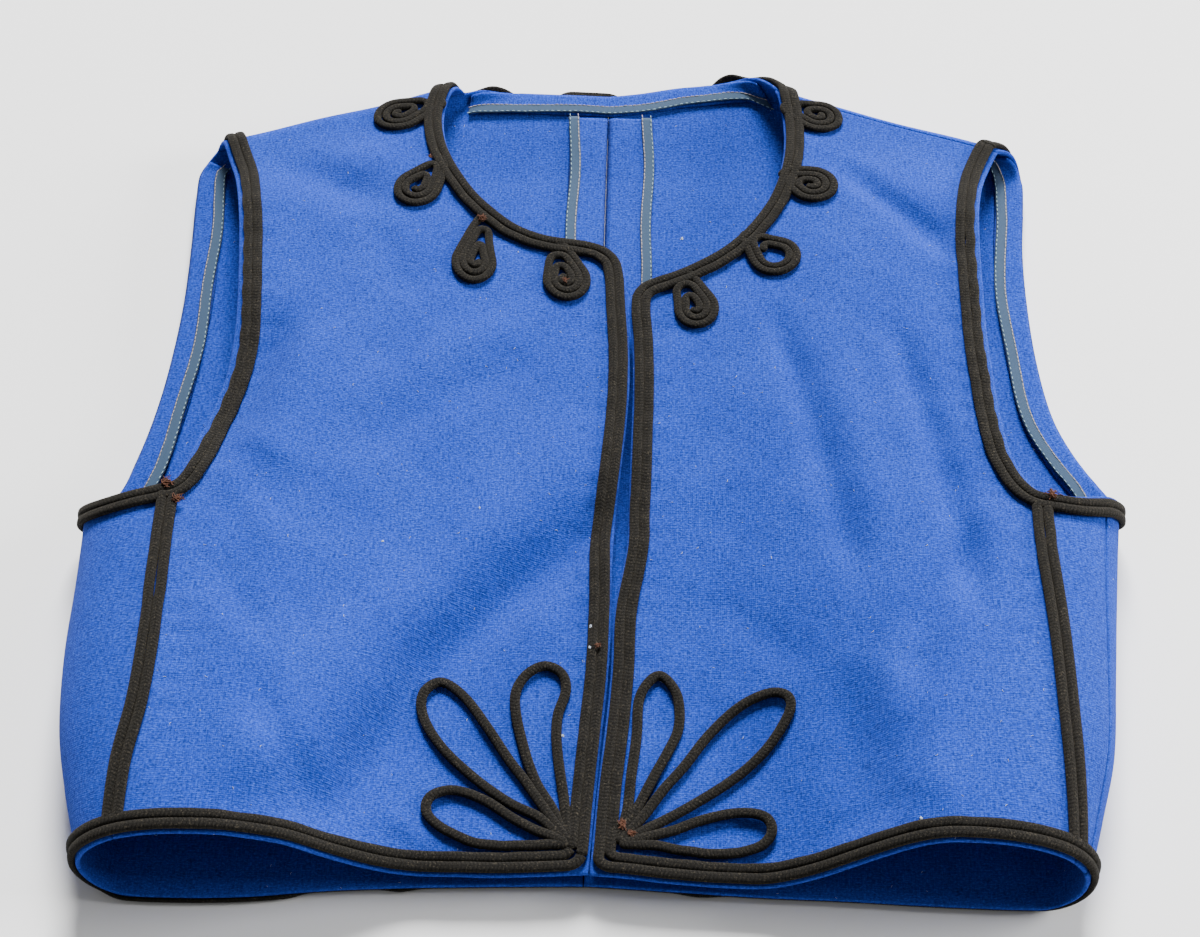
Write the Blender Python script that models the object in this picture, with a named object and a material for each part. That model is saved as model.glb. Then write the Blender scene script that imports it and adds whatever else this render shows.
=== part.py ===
"""Sleeveless folk vest of felted wool with braided cord trim, laid flat on its back.

Metres. +X is the wearer's left, +Y runs from the hem to the neck, +Z is up.
The cloth is one smooth surface: an under layer lies on the ground, rolls up round both
sides and over both shoulders, and becomes the upper layer. A place on it is given by
pattern distances: u outwards from the middle, v upwards from the armpit, each measured
along the cloth. Every panel is a wall between that surface and the same surface moved
inwards, and each trim is made from points of the surface moved out or in.
"""
import bisect
import math

import bmesh
import bpy
import numpy as np

RIGHT, LEFT = -1, 1
OVER, UNDER = "over", "under"
SIDE_NAMES = {RIGHT: "right", LEFT: "left"}

# Cloth and seams
CLOTH_THICK = 0.0018
SEAM_GAP = 0.0003
INSIDE_CLEAR = 0.0005
ALLOWANCE_THICK = 0.0012
BINDING_THICK = 0.0007
BINDING_WIDE = 0.0050

# Braided cord, laid as two cords side by side along every edge
CORD_WIDE = 0.0041
CORD_HIGH = 0.0028
CORD_CLEAR = 0.0008
SINGLE_WIDE = 0.0038
SWIRL_WIDE = 0.0034
SWIRL_PITCH = 0.0038
SWIRL_START = 0.0020
EDGE_SHOWS = 0.0008
BAND_WIDE = 2 * CORD_WIDE

# Height of a cord above its foot, as (share of the half width, share of the height)
CORD_SHOULDER = (0.72, 0.75)
BAND_SHOULDER = (0.86, 0.72)
BAND_CREST = 0.50
BAND_DIP = 0.62

# How the cloth lies
UNDER_LIFT = 0.0036
LIFT_FULL_TO = 0.0095
LIFT_NONE_FROM = 0.055
SHOULDER_ROLL = 0.0105
SHOULDER_BLEND = 0.052
LOWER_ROLL = 0.016
OUTERMOST_SHARE = 0.47
CENTRE_SEAM_X = -0.00175
CALM_BESIDE_ROLL = 0.030
HEM_LEVEL = -0.190
TURNING_WIDE = 0.0130
BINDING_FROM_EDGE = 0.0080
ALLOWANCE_WIDE = {RIGHT: 0.0174, LEFT: 0.0210}
ALLOWANCE_ABOVE_HEM = 0.0010

# Middle of the finished vest's outline, which becomes the origin
MIDDLE_X = 0.0012
MIDDLE_Y = 0.0156

# The body seen end on, from the hem to above the armpit.
TUBE = (
    # level, wide right, wide left, side high, middle high, rise from, rise to, upper roll
    (-0.200, 0.1845, 0.1790, 0.0435, 0.0118, 0.060, 0.132, 0.042),
    (-0.188, 0.1870, 0.1820, 0.0430, 0.0118, 0.060, 0.132, 0.042),
    (-0.163, 0.1945, 0.1890, 0.0425, 0.0116, 0.054, 0.136, 0.042),
    (-0.138, 0.2005, 0.1955, 0.0415, 0.0117, 0.046, 0.140, 0.041),
    (-0.105, 0.2040, 0.1995, 0.0400, 0.0123, 0.036, 0.145, 0.038),
    (-0.070, 0.2050, 0.2035, 0.0375, 0.0138, 0.024, 0.150, 0.034),
    (-0.035, 0.2070, 0.2080, 0.0345, 0.0152, 0.010, 0.152, 0.030),
    (0.000, 0.2110, 0.2130, 0.0325, 0.0165, 0.000, 0.152, 0.028),
    (0.045, 0.2300, 0.2300, 0.0305, 0.0178, 0.000, 0.150, 0.026),
    (0.110, 0.2400, 0.2400, 0.0285, 0.0185, 0.000, 0.150, 0.026),
    (0.240, 0.2400, 0.2400, 0.0240, 0.0200, 0.000, 0.150, 0.026),
)

# The outermost line of each shoulder, where the cloth turns from front to back.
SHOULDER_LINE = (
    # u, level right, level left
    (0.000, 0.2400, 0.2430),
    (0.040, 0.2290, 0.2380),
    (0.050, 0.2220, 0.2310),
    (0.061, 0.2170, 0.2275),
    (0.070, 0.2125, 0.2200),
    (0.083, 0.2083, 0.2113),
    (0.105, 0.1993, 0.2033),
    (0.132, 0.1906, 0.1936),
    (0.160, 0.1795, 0.1845),
    (0.180, 0.1730, 0.1774),
    (0.200, 0.1670, 0.1710),
)

# How far round its roll each seam lies, in degrees from the top of the roll.
SHOULDER_SEAM_TURN = {RIGHT: 100.0, LEFT: 17.0}
BACK_SEAM_TURN = (
    # level, right, left
    (-0.200, 96.0, 72.0),
    (-0.110, 96.0, 64.0),
    (-0.020, 96.0, 48.0),
)

# Large soft folds of the upper layer, as lines with a depth that fades at both ends.
FOLDS = (
    # x from, y from, x to, y to, half width, height
    (-0.135, -0.141, -0.005, 0.010, 0.021, 0.0030),
    (-0.112, -0.150, -0.012, -0.026, 0.017, -0.0034),
    (-0.133, 0.070, -0.152, -0.010, 0.019, -0.0028),
    (0.076, 0.050, 0.104, -0.056, 0.019, -0.0024),
    (0.107, -0.118, 0.114, -0.160, 0.016, -0.0022),
    (0.127, -0.036, 0.128, -0.112, 0.017, -0.0026),
    (0.122, 0.106, 0.150, 0.046, 0.018, -0.0020),
)

# Slit edges of the two fronts, as x from the middle line.
FRONT_EDGE = (
    # level, right front, left front
    (-0.195, -0.0008, 0.0012),
    (-0.150, 0.0018, 0.0042),
    (-0.126, 0.0035, 0.0066),
    (-0.101, 0.0055, 0.0072),
    (-0.074, 0.0060, 0.0070),
    (-0.044, 0.0059, 0.0113),
    (-0.027, 0.0068, 0.0116),
    (0.008, 0.0097, 0.0122),
    (0.033, 0.0110, 0.0124),
    (0.057, 0.0106, 0.0118),
    (0.079, 0.0092, 0.0100),
    (0.0985, 0.0080, 0.0100),
)

# Hem of each panel, as v at a distance out from the middle.
HEM = (
    # u, front right, front left, back right, back left
    (-0.012, -0.1866, -0.1868, -0.1882, -0.1882),
    (0.002, -0.1870, -0.1872, -0.1883, -0.1883),
    (0.032, -0.1888, -0.1898, -0.1893, -0.1897),
    (0.065, -0.1890, -0.1908, -0.1907, -0.1911),
    (0.095, -0.1895, -0.1886, -0.1927, -0.1917),
    (0.130, -0.1900, -0.1858, -0.1963, -0.1929),
    (0.165, -0.1908, -0.1876, -0.1970, -0.1933),
    (0.182, -0.1924, -0.1898, -0.1954, -0.1922),
    (0.198, -0.1938, -0.1905, -0.1938, -0.1905),
    (0.235, -0.1938, -0.1905, -0.1938, -0.1905),
)

SIDE_SEAM = (
    # level, right, left
    (-0.195, 0.1660, 0.1720),
    (-0.161, 0.1672, 0.1720),
    (-0.135, 0.1664, 0.1724),
    (-0.091, 0.1682, 0.1736),
    (-0.055, 0.1700, 0.1742),
    (-0.020, 0.1705, 0.1752),
)

# Edge of the front neck, from the corner at the slit up to the shoulder, as (u, v).
NECK_FRONT = {
    RIGHT: (
        (-0.0080, 0.0985), (-0.0052, 0.1060), (0.0005, 0.1118), (0.0090, 0.1150),
        (0.0180, 0.1157), (0.0270, 0.1168), (0.0370, 0.1205), (0.0480, 0.1285),
        (0.0580, 0.1390), (0.0670, 0.1530), (0.0730, 0.1670), (0.0758, 0.1810),
        (0.0757, 0.1930), (0.0735, 0.2040),
    ),
    LEFT: (
        (0.0100, 0.0790), (0.0112, 0.0858), (0.0150, 0.0912), (0.0215, 0.0948),
        (0.0290, 0.0976), (0.0380, 0.1022), (0.0475, 0.1083), (0.0565, 0.1165),
        (0.0645, 0.1275), (0.0710, 0.1400), (0.0757, 0.1550), (0.0778, 0.1700),
        (0.0780, 0.1850), (0.0770, 0.1970),
    ),
}
NECK_TIP = {RIGHT: 0.0690, LEFT: 0.0750}

# Edge of the back neck, from the centre-back seam out to the shoulder, as (u, v).
NECK_BACK = {
    RIGHT: ((0.0019, 0.2163), (0.0150, 0.2168), (0.0300, 0.2172), (0.0430, 0.2176),
            (0.0530, 0.2186), (0.0620, 0.2192)),
    LEFT: ((-0.0016, 0.2163), (0.0130, 0.2188), (0.0300, 0.2228), (0.0440, 0.2250),
           (0.0540, 0.2280), (0.0640, 0.2310)),
}

# Armhole edges, from the side seams up to the shoulder, as (u, v).
ARMHOLE_FRONT = {
    RIGHT: ((0.1640, -0.0215), (0.1592, -0.0060), (0.1545, 0.0130),
            (0.1512, 0.0310), (0.1503, 0.0480), (0.1516, 0.0680), (0.1550, 0.0960),
            (0.1592, 0.1210), (0.1648, 0.1430), (0.1712, 0.1590)),
    LEFT: ((0.1672, -0.0195), (0.1612, -0.0060), (0.1584, 0.0130),
           (0.1570, 0.0330), (0.1558, 0.0540), (0.1560, 0.0770), (0.1573, 0.1050),
           (0.1602, 0.1290), (0.1648, 0.1490), (0.1700, 0.1625)),
}
ARMHOLE_BACK = {
    RIGHT: ((0.2100, -0.0290), (0.1985, -0.0180), (0.1922, 0.0030), (0.1875, 0.0310),
            (0.1850, 0.0610), (0.1842, 0.0890), (0.1850, 0.1180), (0.1864, 0.1470),
            (0.1860, 0.1640)),
    LEFT: ((0.2160, -0.0160), (0.2045, -0.0010), (0.1960, 0.0140), (0.1892, 0.0330),
           (0.1850, 0.0620), (0.1834, 0.0950), (0.1838, 0.1250), (0.1860, 0.1500),
           (0.1868, 0.1680), (0.1830, 0.1840)),
}
ARMHOLE_TIP = {RIGHT: 0.1790, LEFT: 0.1740}
SIDE_SEAM_TOP = {RIGHT: -0.0300, LEFT: -0.0250}
BACK_SEAM_TOP = {RIGHT: -0.0305, LEFT: -0.0222}

# Coiled cords round the neck.
SWIRLS = (
    # side, u, v, half wide, half long, lean of the long axis in degrees
    (RIGHT, 0.0950, 0.1880, 0.0092, 0.0100, 0.0),
    (RIGHT, 0.0857, 0.1435, 0.0100, 0.0140, -12.0),
    (RIGHT, 0.0560, 0.1015, 0.0098, 0.0135, -14.0),
    (RIGHT, 0.0190, 0.0922, 0.0104, 0.0128, 0.0),
    (LEFT, 0.0386, 0.0776, 0.0092, 0.0118, -20.0),
    (LEFT, 0.0738, 0.1035, 0.0102, 0.0108, -35.0),
    (LEFT, 0.0945, 0.1462, 0.0090, 0.0122, -6.0),
    (LEFT, 0.0962, 0.1915, 0.0084, 0.0100, 0.0),
)

# Petal loops of single cord at the hem corners, each from one end round its tip to the other.
PETALS = {
    RIGHT: (
        ((0.0104, -0.1500), (0.0128, -0.1340), (0.0136, -0.1180), (0.0107, -0.1060),
         (0.0125, -0.0988), (0.0194, -0.0957), (0.0267, -0.1006), (0.0302, -0.1104),
         (0.0262, -0.1300), (0.0205, -0.1460), (0.0144, -0.1578)),
        ((0.0252, -0.1450), (0.0300, -0.1385), (0.0388, -0.1252), (0.0500, -0.1098),
         (0.0590, -0.1032), (0.0652, -0.1072), (0.0662, -0.1146), (0.0592, -0.1300),
         (0.0463, -0.1429), (0.0317, -0.1544), (0.0188, -0.1632)),
        ((0.0205, -0.1690), (0.0290, -0.1625), (0.0400, -0.1545), (0.0515, -0.1508),
         (0.0600, -0.1540), (0.0610, -0.1612), (0.0542, -0.1678), (0.0412, -0.1727),
         (0.0273, -0.1752), (0.0170, -0.1762)),
    ),
    LEFT: (
        ((0.0156, -0.1580), (0.0166, -0.1440), (0.0184, -0.1260), (0.0190, -0.1110),
         (0.0205, -0.1035), (0.0252, -0.0996), (0.0304, -0.1022), (0.0327, -0.1085),
         (0.0328, -0.1200), (0.0290, -0.1325), (0.0230, -0.1450)),
        ((0.0214, -0.1592), (0.0272, -0.1492), (0.0348, -0.1370), (0.0442, -0.1232),
         (0.0560, -0.1118), (0.0680, -0.1070), (0.0745, -0.1092), (0.0755, -0.1152),
         (0.0665, -0.1302), (0.0527, -0.1427), (0.0369, -0.1538), (0.0262, -0.1620)),
        ((0.0256, -0.1684), (0.0310, -0.1652), (0.0424, -0.1592), (0.0556, -0.1560),
         (0.0655, -0.1580), (0.0682, -0.1646), (0.0640, -0.1722), (0.0560, -0.1752),
         (0.0473, -0.1764), (0.0350, -0.1756), (0.0228, -0.1742)),
    ),
}
PETAL_NAMES = ("inner", "middle", "outer")

# How much of each edge is turned in and bound, as shares of the edge's run
ARMHOLE_TURNED = {RIGHT: (0.23, 0.93), LEFT: (0.23, 0.84)}
NECK_TURNED = {RIGHT: 0.62, LEFT: 0.52}

# Cells across each wall, and along it as (share of the length reached, cells up to it)
FRONT_COLUMNS = 18
BACK_COLUMNS = 13
GORE_COLUMNS = 5
GORE_ROWS = 12
FRONT_ROWS = ((0.88, 19), (1.00, 6))
BACK_ROWS = ((0.12, 2), (0.32, 2), (0.50, 8), (0.88, 7), (1.00, 7))
SEAM_CELLS = 16
STRIP_POINTS = 4
BACK_CROWDING = 1.5
FRONT_CROWDING = 0.35
FRONT_WIDEST = 0.08

# Share of each panel's edge taken by the first of the two curves joined along it
SLIT_SHARE = 0.64
SIDE_SEAM_SHARE = 0.42
BACK_SEAM_SHARE = 0.38
BACK_NECK_SHARE = 0.38

# Cords take a new section after this run or this turn, whichever comes first.
SECTION_RUN = 0.0125
HEM_RUN = 0.0145
INSIDE_RUN = 0.0160
SHOULDER_RUN = 0.0050
SIDE_RUN = 0.0080
SECTION_TURN = math.radians(20.0)
PETAL_RUN = 0.0075
SWIRL_RUN = 0.0046
SECTION_TURN_INSIDE = math.radians(30.0)
PETAL_TURN = math.radians(28.0)
SWIRL_TURN = math.radians(48.0)
SHARP_ANGLE = math.radians(50.0)

# The trim rounds the front neck corner between these shares of its two edges.
SLIT_TRIM_END = 0.985
NECK_TRIM_START = 0.01
SIDE_TRIM_CLEAR = 0.0035

# Spots are found along a guide before the sections are chosen from them.
GUIDE_SPOTS = 90
SPOT_SPACING = 0.0006

# Step used to find how the surface slopes
STEP = 0.0004


def through(table, column):
    """Smooth curve through one column of a table, over the table's first column."""
    places = [row[0] for row in table]
    values = [row[column] for row in table]
    last = len(table) - 1
    slopes = []
    for i in range(last + 1):
        low, high = max(i - 1, 0), min(i + 1, last)
        slopes.append((values[high] - values[low]) / (places[high] - places[low]))

    def value(place):
        place = min(max(place, places[0]), places[-1])
        i = min(bisect.bisect_right(places, place) - 1, last - 1)
        span = places[i + 1] - places[i]
        t = (place - places[i]) / span
        near = (1 + 2 * t) * (1 - t) ** 2 * values[i] + t * (1 - t) ** 2 * span * slopes[i]
        far = t * t * (3 - 2 * t) * values[i + 1] - t * t * (1 - t) * span * slopes[i + 1]
        return near + far

    return value


def by_side(table, first_column):
    """The same for a table with one column for each side."""
    return {RIGHT: through(table, first_column), LEFT: through(table, first_column + 1)}


HALF_WIDE = by_side(TUBE, 1)
SIDE_HIGH = through(TUBE, 3)
MIDDLE_HIGH = through(TUBE, 4)
RISE_FROM = through(TUBE, 5)
RISE_TO = through(TUBE, 6)
UPPER_ROLL = through(TUBE, 7)
SHOULDER_AT = by_side(SHOULDER_LINE, 1)
SEAM_TURN = by_side(BACK_SEAM_TURN, 1)
FRONT_EDGE_AT = by_side(FRONT_EDGE, 1)
FRONT_HEM = by_side(HEM, 1)
BACK_HEM = by_side(HEM, 3)
SIDE_SEAM_AT = by_side(SIDE_SEAM, 1)


def ease(t):
    """0 to 1 with level ends."""
    t = min(max(t, 0.0), 1.0)
    return (1 - math.cos(math.pi * t)) / 2


def quarter(wide, high):
    """Length of a quarter of an ellipse with these half axes."""
    inner = 3 * (wide + high) - math.sqrt((3 * wide + high) * (wide + 3 * high))
    return math.pi / 4 * inner


def fold_height(x, y):
    """Height that the large soft folds add to the upper layer."""
    total = 0.0
    for x0, y0, x1, y1, half, high in FOLDS:
        run_x, run_y = x1 - x0, y1 - y0
        long = math.hypot(run_x, run_y)
        along = ((x - x0) * run_x + (y - y0) * run_y) / (long * long)
        across = ((x - x0) * run_y - (y - y0) * run_x) / long
        ends = ease((along + 0.25) / 0.5) * ease((1.25 - along) / 0.5)
        total += high * ends * math.exp(-((across / half) ** 2))
    return total


def shoulder_start(side, u):
    """Level at which the cloth starts to roll over the shoulder."""
    return SHOULDER_AT[side](u) - SHOULDER_ROLL


def over_height(side, u, v):
    """Height of the upper layer's outer face."""
    rise = ease((abs(u) - RISE_FROM(v)) / (RISE_TO(v) - RISE_FROM(v)))
    high = MIDDLE_HIGH(v) + (SIDE_HIGH(v) - MIDDLE_HIGH(v)) * rise
    calm = ease((HALF_WIDE[side](v) - UPPER_ROLL(v) - abs(u)) / CALM_BESIDE_ROLL)
    high += fold_height(side * u, v) * calm
    near = ease((v - shoulder_start(side, u) + SHOULDER_BLEND) / SHOULDER_BLEND)
    return high * (1 - near) + 2 * SHOULDER_ROLL * near


def under_edge_points(side):
    """Trimmed edges of the under layer, whose cords hold it off the ground."""
    hem = [(u, BACK_HEM[side](u)) for u in np.linspace(-0.01, 0.235, 40)]
    neck = smooth_line(NECK_BACK[side] + (shoulder_seam_place(side, UNDER, NECK_TIP[side]),))
    tip = shoulder_seam_place(side, UNDER, ARMHOLE_TIP[side])
    arm = smooth_line(ARMHOLE_BACK[side] + (tip,))
    return np.array(hem + [neck(t) for t in np.linspace(0, 1, 20)]
                    + [arm(t) for t in np.linspace(0, 1, 50)])


def under_height(side, u, v):
    """Height of the under layer's outer face, lifted where cords run beneath it."""
    gaps = np.hypot(UNDER_EDGES[side][:, 0] - u, UNDER_EDGES[side][:, 1] - v)
    reach = (float(gaps.min()) - LIFT_FULL_TO) / (LIFT_NONE_FROM - LIFT_FULL_TO)
    return UNDER_LIFT * (1 - ease(reach))


def tube_shape(side, v):
    """Where the side rolls start, their heights and their lengths at one level."""
    wide, high, upper = HALF_WIDE[side](v), SIDE_HIGH(v), UPPER_ROLL(v)
    middle = high * OUTERMOST_SHARE
    upper_run = quarter(upper, high - middle)
    lower_run = quarter(LOWER_ROLL, middle)
    return wide - upper, wide - LOWER_ROLL, high, middle, upper_run, lower_run


def side_roll(side, v, along):
    """Point on the roll round a side, at a run from the top of the roll."""
    upper_at, lower_at, high, middle, upper_run, lower_run = tube_shape(side, v)
    if along <= upper_run:
        turn = along / upper_run * math.pi / 2
        x = upper_at + UPPER_ROLL(v) * math.sin(turn)
        return side * x, v, middle + (high - middle) * math.cos(turn)
    turn = (along - upper_run) / lower_run * math.pi / 2
    low = under_height(side, lower_at + upper_run + lower_run - along, v)
    x = lower_at + LOWER_ROLL * math.cos(turn)
    return side * x, v, middle - (middle - low) * math.sin(turn)


def shoulder_roll(side, u, along):
    """Point on the roll over a shoulder, at a run from the top of the roll."""
    start = shoulder_start(side, u)
    turn = along / SHOULDER_ROLL
    top = over_height(side, u, start)
    low = under_height(side, u, start + math.pi * SHOULDER_ROLL - along)
    y = start + SHOULDER_ROLL * math.sin(turn)
    return side * u, y, low + (top - low) * (1 + math.cos(turn)) / 2


def surface(layer, side, u, v):
    """Point of the garment's outer face."""
    upper_at, lower_at, _, _, upper_run, lower_run = tube_shape(side, v)
    start = shoulder_start(side, u)
    if layer == OVER:
        if u > upper_at:
            return np.array(side_roll(side, v, u - upper_at))
        if v > start:
            return np.array(shoulder_roll(side, u, v - start))
        return np.array((side * u, v, over_height(side, u, v)))
    if u > lower_at:
        return np.array(side_roll(side, v, upper_run + lower_run - (u - lower_at)))
    if v > start:
        return np.array(shoulder_roll(side, u, math.pi * SHOULDER_ROLL - (v - start)))
    return np.array((side * u, v, under_height(side, u, v)))


def slopes_at(layer, side, u, v):
    """How the surface runs for a step in u and in v, and its outward normal."""
    along_u = (surface(layer, side, u + STEP, v) - surface(layer, side, u - STEP, v)) / (2 * STEP)
    along_v = (surface(layer, side, u, v + STEP) - surface(layer, side, u, v - STEP)) / (2 * STEP)
    normal = np.cross(along_u, along_v)
    facing = side if layer == OVER else -side
    return along_u, along_v, facing * normal / np.linalg.norm(normal)


def raised(layer, side, u, v, out):
    """Point of the surface moved outwards."""
    return surface(layer, side, u, v) + slopes_at(layer, side, u, v)[2] * out


def smooth_line(points):
    """Smooth curve through (u, v) points, from 0 at the first to 1 at the last."""
    points = [np.array(p, float) for p in points]
    runs = [0.0]
    for a, b in zip(points, points[1:]):
        runs.append(runs[-1] + float(np.linalg.norm(b - a)))
    table = [(run / runs[-1], p[0], p[1]) for run, p in zip(runs, points)]
    along_u, along_v = through(table, 1), through(table, 2)
    return lambda t: (along_u(t), along_v(t))


def joined(first, second, split):
    """Two curves end to end, the second starting at the split."""
    def line(t):
        if t <= split:
            return first(t / split)
        return second((t - split) / (1 - split))
    return line


def shoulder_seam_place(side, layer, u, gap=0.0):
    """Pattern place of the shoulder seam on one of the two layers."""
    turn = math.radians(SHOULDER_SEAM_TURN[side])
    if layer == UNDER:
        turn = math.pi - turn
    return u, shoulder_start(side, u) + SHOULDER_ROLL * turn - gap


def back_seam_place(side, layer, v):
    """Pattern distance out to the seam between the side piece and the back."""
    upper_at, lower_at, _, _, upper_run, lower_run = tube_shape(side, v)
    turn = SEAM_TURN[side](v) / 90
    along = upper_run * min(turn, 1.0) + lower_run * max(turn - 1.0, 0.0)
    if layer == OVER:
        return upper_at + along
    return lower_at + upper_run + lower_run - along


UNDER_EDGES = {side: under_edge_points(side) for side in (RIGHT, LEFT)}


def front_edge_line(side, top):
    """Slit edge of a front, from the hem up."""
    hem = FRONT_HEM[side](side * FRONT_EDGE_AT[side](HEM_LEVEL))

    def line(t):
        v = hem + (top - hem) * t
        return side * FRONT_EDGE_AT[side](v), v
    return line


def neck_front_line(side):
    tip = shoulder_seam_place(side, OVER, NECK_TIP[side], SEAM_GAP / 2)
    return smooth_line(NECK_FRONT[side] + (tip,))


def neck_back_line(side):
    tip = shoulder_seam_place(side, UNDER, NECK_TIP[side], SEAM_GAP / 2)
    return smooth_line(NECK_BACK[side] + (tip,))


def armhole_front_line(side):
    top = SIDE_SEAM_TOP[side]
    start = (SIDE_SEAM_AT[side](top) - SEAM_GAP / 2, top)
    tip = shoulder_seam_place(side, OVER, ARMHOLE_TIP[side], SEAM_GAP / 2)
    return smooth_line((start,) + ARMHOLE_FRONT[side] + (tip,))


def armhole_back_line(side):
    start = (back_seam_place(side, UNDER, BACK_SEAM_TOP[side]) - SEAM_GAP / 2, BACK_SEAM_TOP[side])
    end = shoulder_seam_place(side, UNDER, ARMHOLE_TIP[side], SEAM_GAP / 2)
    return smooth_line((start,) + ARMHOLE_BACK[side] + (end,))


def shoulder_line(side, layer):
    """Shoulder seam from the neck out."""
    def line(t):
        u = NECK_TIP[side] + (ARMHOLE_TIP[side] - NECK_TIP[side]) * t
        return shoulder_seam_place(side, layer, u, SEAM_GAP / 2)
    return line


def side_seam_line(side, top, shift):
    """Seam between a front and its side piece, from the hem up."""
    hem = FRONT_HEM[side](SIDE_SEAM_AT[side](HEM_LEVEL))

    def line(t):
        v = hem + (top - hem) * t
        return SIDE_SEAM_AT[side](v) + shift, v
    return line


def back_seam_line(side, layer):
    """Seam between a side piece and the back, from the hem up."""
    hem_at = FRONT_HEM[side] if layer == OVER else BACK_HEM[side]
    hem = hem_at(back_seam_place(side, layer, HEM_LEVEL))

    def line(t):
        v = hem + (BACK_SEAM_TOP[side] - hem) * t
        return back_seam_place(side, layer, v) - SEAM_GAP / 2, v
    return line


def patch(inner, outer, bottom, top):
    """Fills the four edge curves of a panel; s runs outwards and t upwards."""
    corners = [np.array(p) for p in (bottom(0), bottom(1), top(0), top(1))]

    def place(s, t):
        ruled = ((1 - s) * np.array(inner(t)) + s * np.array(outer(t))
                 + (1 - t) * np.array(bottom(s)) + t * np.array(top(s)))
        square = ((1 - s) * (1 - t) * corners[0] + s * (1 - t) * corners[1]
                  + (1 - s) * t * corners[2] + s * t * corners[3])
        return tuple(ruled - square)
    return place


def hem_line(hem_at, inner_u, outer_u):
    def line(s):
        u = inner_u + (outer_u - inner_u) * s
        return u, hem_at(u)
    return line


def front_place(side):
    corner = NECK_FRONT[side][0]
    inner = joined(front_edge_line(side, corner[1]), neck_front_line(side), SLIT_SHARE)
    side_seam = side_seam_line(side, SIDE_SEAM_TOP[side], -SEAM_GAP / 2)
    outer = joined(side_seam, armhole_front_line(side), SIDE_SEAM_SHARE)
    bottom = hem_line(FRONT_HEM[side], inner(0)[0], outer(0)[0])
    return patch(inner, outer, bottom, shoulder_line(side, OVER))


def back_place(side):
    seam_u = side * CENTRE_SEAM_X + SEAM_GAP / 2
    neck = neck_back_line(side)

    def inner(t):
        low, high = BACK_HEM[side](seam_u), neck(0)[1]
        return seam_u, low + (high - low) * t

    outer = joined(back_seam_line(side, UNDER), armhole_back_line(side), BACK_SEAM_SHARE)
    bottom = hem_line(BACK_HEM[side], seam_u, outer(0)[0])
    top = joined(neck, shoulder_line(side, UNDER), BACK_NECK_SHARE)
    return patch(inner, outer, bottom, top)


def gore_top_line(side):
    inner_v, outer_v = SIDE_SEAM_TOP[side], BACK_SEAM_TOP[side]
    inner_u = SIDE_SEAM_AT[side](inner_v) + SEAM_GAP / 2
    outer_u = back_seam_place(side, OVER, outer_v) - SEAM_GAP / 2
    middle = ((inner_u + outer_u) / 2, (inner_v + outer_v) / 2)
    return smooth_line(((inner_u, inner_v), middle, (outer_u, outer_v)))


def gore_place(side):
    inner = side_seam_line(side, SIDE_SEAM_TOP[side], SEAM_GAP / 2)
    outer = back_seam_line(side, OVER)
    bottom = hem_line(FRONT_HEM[side], inner(0)[0], outer(0)[0])
    return patch(inner, outer, bottom, gore_top_line(side))


def allowance_place(side, inner_x, outer_x):
    """Strip of the opened centre-back seam allowance, between two distances from the seam."""
    low = BACK_HEM[side](0.0) + ALLOWANCE_ABOVE_HEM
    high = NECK_BACK[side][0][1] - TURNING_WIDE - 2 * SEAM_GAP
    base = side * CENTRE_SEAM_X

    def place(s, t):
        return base + inner_x + (outer_x - inner_x) * s, low + (high - low) * t
    return place


def even(cells):
    return [i / cells for i in range(cells + 1)]


def closer_outwards(cells):
    """Steps that draw together towards the rolled side."""
    return [1 - (1 - i / cells) ** BACK_CROWDING for i in range(cells + 1)]


def closer_at_ends(cells):
    """Steps that draw together towards both ends."""
    return [ease(i / cells) for i in range(cells + 1)]


def graded(rows):
    """Even steps within each stretch of a table of shares and cells."""
    steps = [0.0]
    for share, cells in rows:
        start = steps[-1]
        steps += [start + (share - start) * (i + 1) / cells for i in range(cells)]
    return steps


def front_steps(cells):
    """Steps that draw together where the front rises beside its flat middle."""
    pull = FRONT_CROWDING / math.tau
    base = math.sin(math.tau * FRONT_WIDEST)
    return [t + pull * (math.sin(math.tau * (t - FRONT_WIDEST)) + base) for t in even(cells)]


def add_object(name, mesh_builder, material):
    """Makes one closed mesh an object, its outline's middle moved to the origin."""
    bmesh.ops.recalc_face_normals(mesh_builder, faces=mesh_builder.faces)
    mesh = bpy.data.meshes.new(name)
    mesh_builder.to_mesh(mesh)
    mesh_builder.free()
    mesh.materials.append(material)
    mesh.shade_smooth()
    mesh.set_sharp_from_angle(angle=SHARP_ANGLE)
    thing = bpy.data.objects.new(name, mesh)
    thing.location = (-MIDDLE_X, -MIDDLE_Y, 0.0)
    COLLECTION.objects.link(thing)
    return thing


def wall(name, layer, side, place, across, along, outer, inner, material):
    """Closed wall over a panel, between two distances from the garment's outer face."""
    mesh = bmesh.new()
    grids = []
    for out in (outer, inner):
        grids.append([[mesh.verts.new(raised(layer, side, *place(s, t), out)) for s in across]
                      for t in along])
    rows, columns = len(along), len(across)
    for face, grid in enumerate(grids):
        for j in range(rows - 1):
            for i in range(columns - 1):
                ring = [grid[j][i], grid[j][i + 1], grid[j + 1][i + 1], grid[j + 1][i]]
                mesh.faces.new(ring if face == 0 else ring[::-1])
    rim = [(0, i) for i in range(columns)] + [(j, columns - 1) for j in range(1, rows)]
    rim += [(rows - 1, i) for i in range(columns - 2, -1, -1)]
    rim += [(j, 0) for j in range(rows - 2, 0, -1)]
    for (j0, i0), (j1, i1) in zip(rim, rim[1:] + rim[:1]):
        mesh.faces.new((grids[0][j0][i0], grids[1][j0][i0], grids[1][j1][i1], grids[0][j1][i1]))
    return add_object(name, mesh, material)


def panel(name, layer, side, place, across, along):
    return wall(name, layer, side, place, across, along, 0.0, -CLOTH_THICK, CLOTH)


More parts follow.
